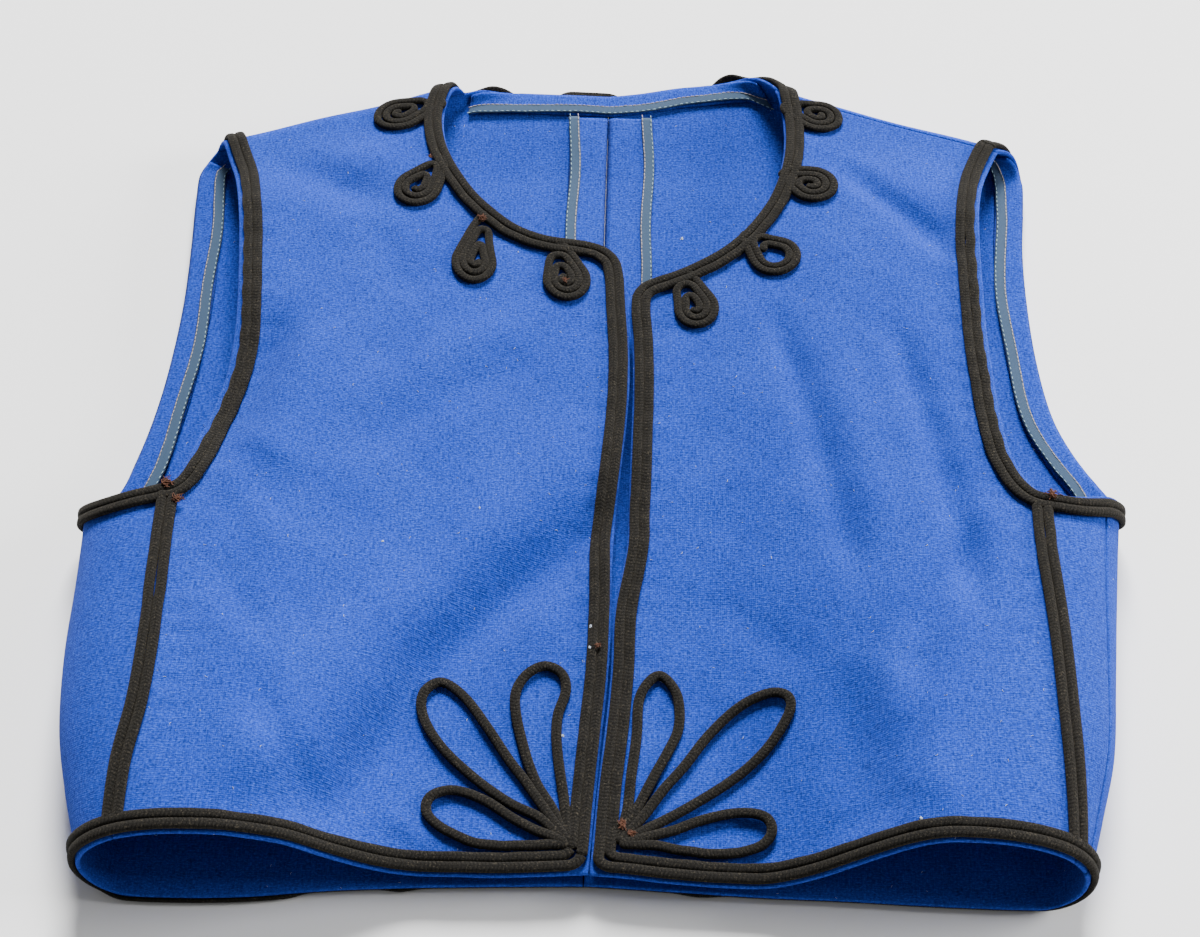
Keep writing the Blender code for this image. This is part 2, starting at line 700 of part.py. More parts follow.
def run_limit(spot, run):
    """Longest step to the next section: short where the cloth rolls."""
    _, side, u, v, _ = spot
    if v > shoulder_start(side, u) - 1.5 * BAND_WIDE:
        return min(run, SHOULDER_RUN)
    if u > tube_shape(side, v)[1]:
        return min(run, SIDE_RUN)
    return run


def stations(stretches, run, turn_limit, closed=False):
    """Places where a trim takes a section: close together only where its guide turns.

    A stretch is (layer, side, line); each station is (layer, side, u, v, heading).
    """
    fine = []
    for layer, side, line, start, end in stretches:
        for t in np.linspace(start, end, GUIDE_SPOTS):
            u, v = line(t)
            fine.append((layer, side, u, v, surface(layer, side, u, v)))
    spots = [fine[0]]
    for spot in fine[1:]:
        if np.linalg.norm(spot[4] - spots[-1][4]) > SPOT_SPACING:
            spots.append(spot)
    if closed and np.linalg.norm(spots[0][4] - spots[-1][4]) < SPOT_SPACING:
        spots.pop()
    count = len(spots)
    headings = []
    for i in range(count):
        before = spots[(i - 2) % count] if closed else spots[max(i - 2, 0)]
        after = spots[(i + 2) % count] if closed else spots[min(i + 2, count - 1)]
        heading = after[4] - before[4]
        headings.append(heading / np.linalg.norm(heading))
    kept = [0]
    gone, turned = 0.0, 0.0
    for i in range(1, count):
        step = float(np.linalg.norm(spots[i][4] - spots[i - 1][4]))
        bend = math.acos(min(1.0, float(headings[i] @ headings[i - 1])))
        limit = run_limit(spots[i], run)
        if (gone + step > limit or turned + bend > turn_limit) and i - 1 > kept[-1]:
            kept.append(i - 1)
            gone, turned = 0.0, 0.0
        gone += step
        turned += bend
    if not closed:
        if count - 1 - kept[-1] < 3 and len(kept) > 2:
            kept.pop()
        kept.append(count - 1)
    return [spots[i][:4] + (headings[i],) for i in kept]


def section_point(station, sideways, out):
    """Point beside a station, sideways along the cloth and then off it."""
    layer, side, u, v, heading = station
    along_u, along_v, normal = slopes_at(layer, side, u, v)
    across = np.cross(normal, heading)
    across /= np.linalg.norm(across)
    step, *_ = np.linalg.lstsq(np.column_stack((along_u, along_v)), across, rcond=None)
    return raised(layer, side, u + step[0] * sideways, v + step[1] * sideways, out)


def sweep(name, places, section, material, closed=False):
    """Solid that carries a section, given as (sideways, out), along its stations."""
    mesh = bmesh.new()
    rings = [[mesh.verts.new(section_point(place, *corner)) for corner in section] for place in places]
    pairs = list(zip(rings, rings[1:]))
    if closed:
        pairs.append((rings[-1], rings[0]))
    else:
        mesh.faces.new(rings[0][::-1])
        mesh.faces.new(rings[-1])
    corners = len(section)
    for near, far in pairs:
        for i in range(corners):
            j = (i + 1) % corners
            mesh.faces.new((near[i], near[j], far[j], far[i]))
    return add_object(name, mesh, material)


def cord_section(wide):
    """Low rounded outline of one cord lying on the cloth."""
    half = wide / 2
    shoulder = half * CORD_SHOULDER[0], CORD_CLEAR + CORD_HIGH * CORD_SHOULDER[1]
    return [(-half, CORD_CLEAR), (-shoulder[0], shoulder[1]), (0.0, CORD_CLEAR + CORD_HIGH),
            shoulder, (half, CORD_CLEAR)]


def band_section(centre):
    """Two cords side by side, joined along the dip between them, with a foot that can bend."""
    half, top = BAND_WIDE / 2, CORD_CLEAR + CORD_HIGH
    shoulder_at, shoulder_high = half * BAND_SHOULDER[0], top * BAND_SHOULDER[1]
    crest_at = half * BAND_CREST
    profile = ((-half, CORD_CLEAR), (-shoulder_at, shoulder_high), (-crest_at, top), (0.0, top * BAND_DIP),
               (crest_at, top), (shoulder_at, shoulder_high), (half, CORD_CLEAR), (0.0, CORD_CLEAR))
    return [(centre + across, out) for across, out in profile]


def strip_section(near, far, outer, thick):
    """Flat strip beside a guide, with enough points across to follow a roll."""
    across = np.linspace(near, far, STRIP_POINTS)
    return [(a, outer) for a in across] + [(a, outer - thick) for a in across[::-1]]


def neck_front_stretches():
    """Guide of the trim up one slit edge, round the neck and down the other."""
    stretches = []
    for side in (RIGHT, LEFT):
        corner = NECK_FRONT[side][0]
        edge = front_edge_line(side, corner[1])
        hem = edge(0)[1]
        start = (EDGE_SHOWS + BAND_WIDE + 2 * SEAM_GAP) / (corner[1] - hem)
        parts = [(OVER, side, edge, start, SLIT_TRIM_END),
                 (OVER, side, neck_front_line(side), NECK_TRIM_START, 1.0),
                 (UNDER, side, neck_back_line(side), 1.0, 0.0)]
        if side == LEFT:
            parts = [(layer, at, line, end, begin) for layer, at, line, begin, end in reversed(parts)]
        stretches += parts
    return stretches


def hem_stretches():
    """Guide of the trim along the hem, from the right slit edge round the back to the left one."""
    stretches = []
    for side in (RIGHT, LEFT):
        inner_u = side * FRONT_EDGE_AT[side](HEM_LEVEL) + EDGE_SHOWS
        outer_u = back_seam_place(side, OVER, HEM_LEVEL)
        under_u = back_seam_place(side, UNDER, HEM_LEVEL)
        front = hem_line(FRONT_HEM[side], inner_u, outer_u)
        back = hem_line(BACK_HEM[side], side * CENTRE_SEAM_X, under_u)
        parts = [(OVER, side, front, 0.0, 1.0), (UNDER, side, back, 1.0, 0.0)]
        if side == LEFT:
            parts = [(layer, at, line, end, begin) for layer, at, line, begin, end in reversed(parts)]
        stretches += parts
    return stretches


def armhole_stretches(side):
    """Guide of the trim round an armhole: front, armpit, back."""
    return [(OVER, side, armhole_front_line(side), 1.0, 0.0),
            (OVER, side, gore_top_line(side), 0.0, 1.0),
            (UNDER, side, armhole_back_line(side), 0.0, 1.0)]


def side_band_stretches(side):
    seam = side_seam_line(side, SIDE_SEAM_TOP[side], 0.0)
    low, high = seam(0)[1], seam(1)[1]
    clear = EDGE_SHOWS + BAND_WIDE + 2 * SEAM_GAP
    return [(OVER, side, seam, clear / (high - low), 1 - (clear + SIDE_TRIM_CLEAR) / (high - low))]


def swirl_line(u, v, half_wide, half_long, lean):
    """Cord coiled from near its middle out to an oval."""
    outer = half_wide - SWIRL_WIDE / 2
    turns = (outer - SWIRL_START) / SWIRL_PITCH
    cosine, sine = math.cos(math.radians(lean)), math.sin(math.radians(lean))

    def line(t):
        reach = SWIRL_START + (outer - SWIRL_START) * t
        angle = math.tau * turns * (t - 1) + math.pi / 2
        across = reach * math.cos(angle)
        along = reach * math.sin(angle) * (half_long - SWIRL_WIDE / 2) / outer
        return u + across * cosine + along * sine, v - across * sine + along * cosine
    return line


def fabric(name, colour, roughness):
    material = bpy.data.materials.new(name)
    material.use_nodes = True
    shader = material.node_tree.nodes["Principled BSDF"]
    shader.inputs["Base Color"].default_value = (*colour, 1.0)
    shader.inputs["Roughness"].default_value = roughness
    shader.inputs["Metallic"].default_value = 0.0
    return material


def build_panels():
    for side in (RIGHT, LEFT):
        word = SIDE_NAMES[side]
        across, along = front_steps(FRONT_COLUMNS), graded(FRONT_ROWS)
        panel(f"front_{word}", OVER, side, front_place(side), across, along)
        across, along = even(GORE_COLUMNS), even(GORE_ROWS)
        panel(f"side_{word}", OVER, side, gore_place(side), across, along)
        across, along = closer_outwards(BACK_COLUMNS), graded(BACK_ROWS)
        panel(f"back_{word}", UNDER, side, back_place(side), across, along)


def build_inside():
    """Opened seam allowances, turned edges and the tapes that bind them."""
    face = -CLOTH_THICK - INSIDE_CLEAR
    tape_face = face - ALLOWANCE_THICK - SEAM_GAP
    for side, wide in ALLOWANCE_WIDE.items():
        word = SIDE_NAMES[side]
        strip = allowance_place(side, SEAM_GAP / 2, wide)
        wall(f"centre_allowance_{word}", UNDER, side, strip, even(1), closer_at_ends(SEAM_CELLS),
             face, face - ALLOWANCE_THICK, CLOTH)
        tape = allowance_place(side, wide - BINDING_WIDE, wide)
        wall(f"centre_binding_{word}", UNDER, side, tape, even(1), closer_at_ends(SEAM_CELLS),
             tape_face, tape_face - BINDING_THICK, TAPE)
        arm = [(UNDER, side, armhole_back_line(side), *ARMHOLE_TURNED[side])]
        inside_trims(f"armhole_{word}", arm, -side)
    neck = [(UNDER, RIGHT, neck_back_line(RIGHT), NECK_TURNED[RIGHT], 0.0),
            (UNDER, LEFT, neck_back_line(LEFT), 0.0, NECK_TURNED[LEFT])]
    inside_trims("neck", neck, 1)


def inside_trims(name, stretches, facing):
    """Edge turned to the inside with its raw edge bound, along a guide."""
    face = -CLOTH_THICK - INSIDE_CLEAR
    tape_face = face - ALLOWANCE_THICK - SEAM_GAP
    places = stations(stretches, INSIDE_RUN, SECTION_TURN_INSIDE)
    turning = strip_section(facing * SEAM_GAP, facing * TURNING_WIDE, face, ALLOWANCE_THICK)
    sweep(f"{name}_turning", places, turning, CLOTH)
    tape = strip_section(facing * BINDING_FROM_EDGE, facing * TURNING_WIDE, tape_face, BINDING_THICK)
    sweep(f"{name}_binding", places, tape, TAPE)


def build_bands():
    middle = EDGE_SHOWS + BAND_WIDE / 2
    places = stations(neck_front_stretches(), SECTION_RUN, SECTION_TURN)
    sweep("neck_and_front_braid", places, band_section(middle), CORD)
    places = stations(hem_stretches(), HEM_RUN, SECTION_TURN)
    sweep("hem_braid", places, band_section(-middle), CORD)
    for side in (RIGHT, LEFT):
        word = SIDE_NAMES[side]
        places = stations(armhole_stretches(side), SECTION_RUN, SECTION_TURN, closed=True)
        sweep(f"armhole_braid_{word}", places, band_section(-side * middle), CORD, closed=True)
        places = stations(side_band_stretches(side), SECTION_RUN, SECTION_TURN)
        sweep(f"side_braid_{word}", places, band_section(0.0), CORD)


def build_ornament():
    for number, (side, u, v, wide, long, lean) in enumerate(SWIRLS, 1):
        line = swirl_line(u, v, wide, long, lean)
        places = stations([(OVER, side, line, 0.0, 1.0)], SWIRL_RUN, SWIRL_TURN)
        sweep(f"neck_swirl_{number}", places, cord_section(SWIRL_WIDE), CORD)
    for side in (RIGHT, LEFT):
        for word, points in zip(PETAL_NAMES, PETALS[side]):
            loop = [(OVER, side, smooth_line(points), 0.0, 1.0)]
            places = stations(loop, PETAL_RUN, PETAL_TURN)
            sweep(f"hem_petal_{SIDE_NAMES[side]}_{word}", places, cord_section(SINGLE_WIDE), CORD)


for old in list(bpy.data.objects):
    bpy.data.objects.remove(old)
COLLECTION = bpy.data.collections.new("folk_vest")
bpy.context.scene.collection.children.link(COLLECTION)
CLOTH = fabric("blue_wool", (0.045, 0.135, 0.520), 0.90)
CORD = fabric("black_cord", (0.018, 0.016, 0.014), 0.80)
TAPE = fabric("binding_tape", (0.135, 0.230, 0.400), 0.85)
build_panels()
build_inside()
build_bands()
build_ornament()
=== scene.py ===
"""Folk vest of felted wool with plaited cord trim, laid flat on its back: the fine surface.

Metres, in the frame of the solids. +X is the wearer's left, +Y runs from the hem to the
neck, +Z is up. The cloth is one smooth surface: an under layer on the ground, rolled up
round both sides and over both shoulders into an upper layer. A place on it is given by
pattern distances, u outwards from the middle and v upwards from the armpit.
"""

import math

import bmesh
import bpy
import numpy as np
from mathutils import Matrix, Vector


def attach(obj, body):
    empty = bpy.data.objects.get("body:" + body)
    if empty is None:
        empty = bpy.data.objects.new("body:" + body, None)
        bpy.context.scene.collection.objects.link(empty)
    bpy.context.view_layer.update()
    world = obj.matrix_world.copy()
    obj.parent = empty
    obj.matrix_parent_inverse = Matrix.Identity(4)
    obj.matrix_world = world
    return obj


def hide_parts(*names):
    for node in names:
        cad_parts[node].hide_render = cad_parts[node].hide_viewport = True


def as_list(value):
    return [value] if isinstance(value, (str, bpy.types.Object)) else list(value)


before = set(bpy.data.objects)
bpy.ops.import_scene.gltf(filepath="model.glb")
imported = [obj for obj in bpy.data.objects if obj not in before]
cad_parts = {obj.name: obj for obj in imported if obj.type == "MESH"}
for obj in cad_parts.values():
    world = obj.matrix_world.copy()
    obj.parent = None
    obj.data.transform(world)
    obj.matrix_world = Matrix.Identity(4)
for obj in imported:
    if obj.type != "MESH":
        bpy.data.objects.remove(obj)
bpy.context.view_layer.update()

RIGHT, LEFT = -1, 1
OVER, UNDER = "over", "under"
SIDE_NAMES = {RIGHT: "right", LEFT: "left"}

# Cloth and seams
CLOTH_THICK = 0.0018
SEAM_GAP = 0.0003
INSIDE_CLEAR = 0.0005
ALLOWANCE_THICK = 0.0012
BINDING_THICK = 0.0007
BINDING_WIDE = 0.0050
TURNING_WIDE = 0.0130
BINDING_FROM_EDGE = 0.0080
TAPE_WAVER = 0.0006
STITCH_INSET = 0.0006
ALLOWANCE_WIDE = {RIGHT: 0.0174, LEFT: 0.0210}
ALLOWANCE_ABOVE_HEM = 0.0130
RIM_TURNS = (60, 20, -20, -60)
RIBBON_COLUMNS = 9
PANEL_CELLS = {"front": (92, 200), "back": (74, 158), "side": (26, 82)}

# Stitches along the tapes
CREAM_STITCH = {"Pitch": 0.0021, "Stitch long": 0.0023}
PALE_STITCH = {"Pitch": 0.0026, "Stitch long": 0.0019}
STITCH_THREAD = 0.00045
STITCH_STRAY = 0.0001
STITCH_PROUD = 0.00005
STITCH_SEED = 3

# Plaited cord
CORD_WIDE = 0.0042
CORD_HIGH = 0.0030
CORD_CLEAR = 0.0004
CORD_CORNERS = 14
SECTION_RADIUS = 0.001
CORD_MIDDLE_SHARE = 0.36
CORD_FLAT_FOOT = -0.72
CORD_END_ROUND = 0.0018
CORD_END_BLUNT = 1.02
NO_END_ROUND = 0.000001
SINGLE_WIDE = 0.0040
SWIRL_WIDE = 0.0036
SWIRL_HIGH = 0.92 * CORD_HIGH
SWIRL_PITCH = 0.0031
SWIRL_STEPS = 34
PETAL_STEP_UP = 0.0004
EDGE_SHOWS = 0.0008
ARMHOLE_RIM = 0.0014
BAND_WIDE = 0.0082
PLAIT_RUN = 0.0015
PLAIT_RELIEF = 0.00006
PLAIT_GROOVE = 0.00042
PLAIT_SLANT = 0.62
STRAND_FULLNESS = 0.7
STRAND_MEAN = 0.62
GROOVE_SHARPNESS = 4.0
# How closely the painted shade keeps to the cord's middle groove
GROOVE_SHADE_SHARPNESS = 5.0
CORNER_TURN = {"outer": 0.0035, "inner": 0.0022}
CORD_SECTIONS = 0.00052

# Guides that the trims follow
GUIDE_RUN = 0.0008
GUIDE_LOOK = 3
GUIDE_CALM = 6

# How the cloth lies
UNDER_LIFT = 0.0036
LIFT_FULL_TO = 0.0095
LIFT_NONE_FROM = 0.055
SHOULDER_ROLL = 0.0105
SHOULDER_BLEND = 0.052
LOWER_ROLL = 0.016
OUTERMOST_SHARE = 0.47
CENTRE_SEAM_X = -0.00175
CALM_BESIDE_ROLL = 0.030
HEM_LEVEL = -0.190
HEM_REACH = (-0.01, 0.235)
FOLD_FADE = 0.25
STEP = 0.0004

# Middle of the vest's outline, which is the origin
MIDDLE = np.array((0.0012, 0.0156, 0.0))

# The body seen end on, from the hem to above the armpit.
TUBE = (
    # level, wide right, wide left, side high, middle high, rise from, rise to, upper roll
    (-0.200, 0.1845, 0.1790, 0.0435, 0.0118, 0.060, 0.132, 0.042),
    (-0.188, 0.1870, 0.1820, 0.0430, 0.0118, 0.060, 0.132, 0.042),
    (-0.163, 0.1945, 0.1890, 0.0425, 0.0116, 0.054, 0.136, 0.042),
    (-0.138, 0.2005, 0.1955, 0.0415, 0.0117, 0.046, 0.140, 0.041),
    (-0.105, 0.2040, 0.1995, 0.0400, 0.0123, 0.036, 0.145, 0.038),
    (-0.070, 0.2050, 0.2035, 0.0375, 0.0138, 0.024, 0.150, 0.034),
    (-0.035, 0.2070, 0.2080, 0.0345, 0.0152, 0.010, 0.152, 0.030),
    (0.000, 0.2110, 0.2130, 0.0325, 0.0165, 0.000, 0.152, 0.028),
    (0.045, 0.2300, 0.2300, 0.0305, 0.0178, 0.000, 0.150, 0.026),
    (0.110, 0.2400, 0.2400, 0.0285, 0.0185, 0.000, 0.150, 0.026),
    (0.240, 0.2400, 0.2400, 0.0240, 0.0200, 0.000, 0.150, 0.026),
)

# The outermost line of each shoulder, where the cloth turns from front to back.
SHOULDER_LINE = (
    # u, level right, level left
    (0.000, 0.2400, 0.2430),
    (0.040, 0.2290, 0.2380),
    (0.050, 0.2220, 0.2310),
    (0.061, 0.2170, 0.2275),
    (0.070, 0.2125, 0.2200),
    (0.083, 0.2083, 0.2113),
    (0.105, 0.1993, 0.2033),
    (0.132, 0.1906, 0.1936),
    (0.160, 0.1795, 0.1845),
    (0.180, 0.1730, 0.1774),
    (0.200, 0.1670, 0.1710),
)

# How far round its roll each seam lies, in degrees from the top of the roll.
SHOULDER_SEAM_TURN = {RIGHT: 100.0, LEFT: 17.0}
BACK_SEAM_TURN = (
    # level, right, left
    (-0.200, 96.0, 72.0),
    (-0.110, 96.0, 64.0),
    (-0.020, 96.0, 48.0),
)

# Large soft folds of the upper layer, as lines with a depth that fades at both ends.
FOLDS = (
    # x from, y from, x to, y to, half width, height
    (-0.1170, -0.1680, -0.0730, -0.0800, 0.0180, 0.0050),
    (-0.0730, -0.0800, -0.0040, 0.0080, 0.0165, 0.0044),
    (-0.0970, -0.1740, -0.0600, -0.0980, 0.0115, -0.0062),
    (-0.0600, -0.0980, -0.0010, -0.0300, 0.0100, -0.0053),
    (-0.1160, 0.0600, -0.1340, -0.0200, 0.0130, 0.0030),
    (-0.1010, -0.1660, -0.1340, -0.1840, 0.0140, -0.0032),
    (-0.1400, 0.0560, -0.1580, -0.0100, 0.0120, -0.0055),
    (-0.1620, 0.1660, -0.1050, 0.1330, 0.0110, -0.0044),
    (-0.1480, 0.1820, -0.0980, 0.1560, 0.0110, 0.0020),
    (0.0985, -0.1120, 0.1010, -0.1680, 0.0110, -0.0043),
    (0.1180, -0.1160, 0.1260, -0.1700, 0.0110, 0.0030),
)

# Narrower creases of the upper layer, in the same way.
CREASES = (
    # x from, y from, x to, y to, half width, height
    (0.0730, 0.0700, 0.0870, 0.0120, 0.0060, -0.0024),
    (0.0870, 0.0120, 0.1010, -0.0600, 0.0065, -0.0027),
    (0.0960, 0.0500, 0.1120, -0.0400, 0.0090, 0.0019),
    (0.1220, 0.0600, 0.1350, 0.0020, 0.0065, -0.0030),
    (0.1350, 0.0020, 0.1490, -0.0850, 0.0070, -0.0035),
    (0.1480, -0.0460, 0.1250, -0.0900, 0.0070, -0.0030),
    (0.1250, -0.0900, 0.1180, -0.1500, 0.0075, -0.0030),
    (0.1040, 0.1580, 0.1480, 0.1080, 0.0065, -0.0038),
    (-0.1280, -0.1250, -0.1000, -0.1700, 0.0070, -0.0019),
    (-0.1480, -0.0700, -0.1280, -0.1000, 0.0070, -0.0018),
    (-0.1500, -0.0200, -0.1250, -0.0600, 0.0080, 0.0016),
    (-0.1520, 0.0000, -0.1200, -0.0200, 0.0060, 0.0011),
    (-0.0350, 0.0700, -0.1050, 0.0200, 0.0110, 0.0015),
    (-0.0300, 0.0500, -0.0900, 0.0000, 0.0090, -0.0012),
    (-0.1000, 0.1150, -0.0850, 0.0800, 0.0080, -0.0012),
    (-0.0180, -0.0700, -0.0360, -0.1250, 0.0070, 0.0011),
    (0.0300, 0.0600, 0.0220, 0.0000, 0.0080, 0.0009),
    (0.0500, -0.0700, 0.0800, -0.1000, 0.0080, -0.0011),
    (-0.0750, -0.1660, -0.0500, -0.1790, 0.0060, 0.0014),
    (0.0850, -0.1740, 0.1150, -0.1660, 0.0060, -0.0012),
)

# Slow waves that keep the cloth from lying perfectly smooth.
WAVES = (
    # length, direction in degrees, height, start
    (0.061, 20.0, 0.00022, 0.3),
    (0.043, 75.0, 0.00018, 1.9),
    (0.029, 130.0, 0.00013, 4.0),
    (0.019, 160.0, 0.00007, 2.2),
    (0.017, 55.0, 0.00006, 5.1),
)

# Cloth drawn in along the sewn cords, in ripples whose pitch wanders
PUCKER_HIGH = 0.00022
PUCKER_REACH = 0.0090
PUCKER_LENGTH = 0.0125
PUCKER_WANDER = 2.0
PUCKER_WANDER_RATE = 37.0

# Slit edges of the two fronts, as x from the middle line.
FRONT_EDGE = (
    # level, right front, left front
    (-0.195, -0.0003, 0.0000),
    (-0.150, 0.0022, 0.0026),
    (-0.126, 0.0038, 0.0047),
    (-0.101, 0.0055, 0.0063),
    (-0.074, 0.0060, 0.0070),
    (-0.044, 0.0059, 0.0113),
    (-0.027, 0.0068, 0.0116),
    (0.008, 0.0097, 0.0122),
    (0.033, 0.0110, 0.0124),
    (0.057, 0.0106, 0.0118),
    (0.079, 0.0092, 0.0100),
    (0.0985, 0.0080, 0.0100),
)

# Hem of each panel, as v at a distance out from the middle.
HEM = (
    # u, front right, front left, back right, back left
    (-0.012, -0.1866, -0.1868, -0.1882, -0.1882),
    (0.002, -0.1870, -0.1872, -0.1883, -0.1883),
    (0.032, -0.1888, -0.1898, -0.1893, -0.1897),
    (0.065, -0.1890, -0.1908, -0.1907, -0.1911),
    (0.095, -0.1895, -0.1886, -0.1927, -0.1917),
    (0.130, -0.1900, -0.1858, -0.1963, -0.1929),
    (0.165, -0.1908, -0.1876, -0.1970, -0.1933),
    (0.182, -0.1924, -0.1898, -0.1954, -0.1922),
    (0.198, -0.1938, -0.1905, -0.1938, -0.1905),
    (0.235, -0.1938, -0.1905, -0.1938, -0.1905),
)

# Seams between the fronts and the side pieces, as u at each level.
SIDE_SEAM = (
    # level, right, left
    (-0.195, 0.1660, 0.1720),
    (-0.161, 0.1672, 0.1720),
    (-0.135, 0.1664, 0.1724),
    (-0.091, 0.1682, 0.1736),
    (-0.055, 0.1700, 0.1742),
    (-0.020, 0.1705, 0.1752),
)

# Edge of the front neck, from the corner at the slit up to the shoulder, as (u, v).
NECK_FRONT = {
    RIGHT: (
        (-0.0080, 0.0985), (-0.0052, 0.1060), (0.0005, 0.1118), (0.0090, 0.1150),
        (0.0180, 0.1157), (0.0270, 0.1168), (0.0370, 0.1205), (0.0480, 0.1285),
        (0.0580, 0.1390), (0.0670, 0.1530), (0.0730, 0.1670), (0.0758, 0.1810),
        (0.0757, 0.1930), (0.0735, 0.2040),
    ),
    LEFT: (
        (0.0100, 0.0790), (0.0112, 0.0858), (0.0150, 0.0912), (0.0215, 0.0948),
        (0.0290, 0.0976), (0.0380, 0.1022), (0.0475, 0.1083), (0.0565, 0.1165),
        (0.0645, 0.1275), (0.0710, 0.1400), (0.0757, 0.1550), (0.0778, 0.1700),
        (0.0780, 0.1850), (0.0770, 0.1970),
    ),
}
NECK_TIP = {RIGHT: 0.0690, LEFT: 0.0750}

# Edge of the back neck, from the centre-back seam out to the shoulder, as (u, v).
NECK_BACK = {
    RIGHT: ((0.0019, 0.2163), (0.0150, 0.2168), (0.0300, 0.2172), (0.0430, 0.2176),
            (0.0530, 0.2186), (0.0620, 0.2192)),
    LEFT: ((-0.0016, 0.2163), (0.0130, 0.2188), (0.0300, 0.2228), (0.0440, 0.2250),
           (0.0540, 0.2280), (0.0640, 0.2310)),
}

# Armhole edges, from the side seams up to the shoulder, as (u, v).
ARMHOLE_FRONT = {
    RIGHT: ((0.1665, -0.0215), (0.1628, -0.0060), (0.1588, 0.0130),
            (0.1558, 0.0310), (0.1549, 0.0480), (0.1558, 0.0680), (0.1584, 0.0960),
            (0.1615, 0.1210), (0.1658, 0.1430), (0.1712, 0.1590)),
    LEFT: ((0.1704, -0.0195), (0.1652, -0.0060), (0.1626, 0.0130),
           (0.1614, 0.0330), (0.1604, 0.0540), (0.1604, 0.0770), (0.1608, 0.1050),
           (0.1620, 0.1290), (0.1655, 0.1490), (0.1700, 0.1625)),
}
ARMHOLE_BACK = {
    RIGHT: ((0.2100, -0.0290), (0.1985, -0.0180), (0.1922, 0.0030), (0.1875, 0.0310),
            (0.1850, 0.0610), (0.1842, 0.0890), (0.1850, 0.1180), (0.1864, 0.1470),
            (0.1860, 0.1640)),
    LEFT: ((0.2160, -0.0160), (0.2045, -0.0010), (0.1960, 0.0140), (0.1892, 0.0330),
           (0.1850, 0.0620), (0.1834, 0.0950), (0.1838, 0.1250), (0.1860, 0.1500),
           (0.1868, 0.1680), (0.1830, 0.1840)),
}

# Where seams, turnings and trims end
ARMHOLE_TIP = {RIGHT: 0.1790, LEFT: 0.1740}
SIDE_SEAM_TOP = {RIGHT: -0.0300, LEFT: -0.0250}
BACK_SEAM_TOP = {RIGHT: -0.0305, LEFT: -0.0222}
UNDERARM_DIP = {RIGHT: 0.0055, LEFT: 0.0028}
ARMHOLE_TURNED = {RIGHT: (0.085, 0.97), LEFT: (0.11, 0.95)}
NECK_TURNED = {RIGHT: 0.96, LEFT: 0.90}
SLIT_TRIM_END = 0.985
NECK_TRIM_START = 0.01
SIDE_TRIM_CLEAR = 0.0012

# Share of each panel's edge taken by the first of the two curves joined along it.
SLIT_SHARE = 0.64
SIDE_SEAM_SHARE = 0.42
BACK_SEAM_SHARE = 0.38
BACK_NECK_SHARE = 0.38

# Coiled cords round the neck, each led off to a join under the band.
SWIRLS = (
    # side, u, v, half wide, far end, hole, join u, join v, flare of the throat, way round
    (RIGHT, 0.0962, 0.1870, 0.0100, 0.0126, 0.0004, -0.0150, 0.0080, 0.60, 1),
    (RIGHT, 0.0850, 0.1400, 0.0101, 0.0124, 0.0018, -0.0085, 0.0165, 0.35, 1),
    (RIGHT, 0.0567, 0.0985, 0.0100, 0.0124, 0.0004, -0.0028, 0.0250, 0.25, -1),
    (RIGHT, 0.0180, 0.0918, 0.0106, 0.0122, 0.0004, 0.0052, 0.0165, 0.70, 1),
    (LEFT, 0.0382, 0.0762, 0.0098, 0.0114, 0.0004, -0.0060, 0.0165, 0.80, -1),
    (LEFT, 0.0732, 0.1048, 0.0110, 0.0116, 0.0043, -0.0105, 0.0115, 0.40, 1),
    (LEFT, 0.0894, 0.1446, 0.0104, 0.0118, 0.0004, -0.0115, 0.0050, 0.80, -1),
    (LEFT, 0.0940, 0.1908, 0.0098, 0.0116, 0.0004, -0.0125, 0.0060, 0.80, 1),
)

# Petal loops of single cord at the hem corners, each from one end round its tip to the other.
PETALS = {
    RIGHT: (
        ((0.0104, -0.1535), (0.0128, -0.1380), (0.0136, -0.1220), (0.0107, -0.1100),
         (0.0125, -0.1028), (0.0194, -0.0997), (0.0267, -0.1046), (0.0302, -0.1144),
         (0.0262, -0.1340), (0.0205, -0.1500), (0.0144, -0.1602)),
        ((0.0252, -0.1490), (0.0300, -0.1425), (0.0388, -0.1292), (0.0500, -0.1138),
         (0.0590, -0.1072), (0.0652, -0.1112), (0.0662, -0.1186), (0.0592, -0.1340),
         (0.0463, -0.1469), (0.0317, -0.1583), (0.0188, -0.1650)),
        ((0.0205, -0.1703), (0.0290, -0.1656), (0.0400, -0.1585), (0.0515, -0.1548),
         (0.0600, -0.1580), (0.0610, -0.1652), (0.0542, -0.1718), (0.0412, -0.1766),
         (0.0273, -0.1773), (0.0170, -0.1766)),
    ),
    LEFT: (
        ((0.0140, -0.1597), (0.0150, -0.1468), (0.0168, -0.1288), (0.0174, -0.1138),
         (0.0205, -0.1063), (0.0252, -0.1024), (0.0304, -0.1074), (0.0327, -0.1137),
         (0.0328, -0.1252), (0.0290, -0.1353), (0.0230, -0.1478)),
        ((0.0214, -0.1611), (0.0272, -0.1520), (0.0348, -0.1422), (0.0442, -0.1284),
         (0.0560, -0.1170), (0.0680, -0.1122), (0.0745, -0.1144), (0.0755, -0.1204),
         (0.0665, -0.1354), (0.0527, -0.1479), (0.0369, -0.1590), (0.0262, -0.1657)),
        ((0.0256, -0.1711), (0.0310, -0.1693), (0.0424, -0.1644), (0.0556, -0.1612),
         (0.0655, -0.1632), (0.0682, -0.1692), (0.0640, -0.1748), (0.0560, -0.1774),
         (0.0473, -0.1784), (0.0350, -0.1777), (0.0228, -0.1757)),
    ),
}
PETAL_NAMES = ("inner", "middle", "outer")
GATHER_U = {RIGHT: 0.0072, LEFT: 0.0108}
GATHER_V = -0.1758
GATHER_SHARES = (0.50, 0.97)

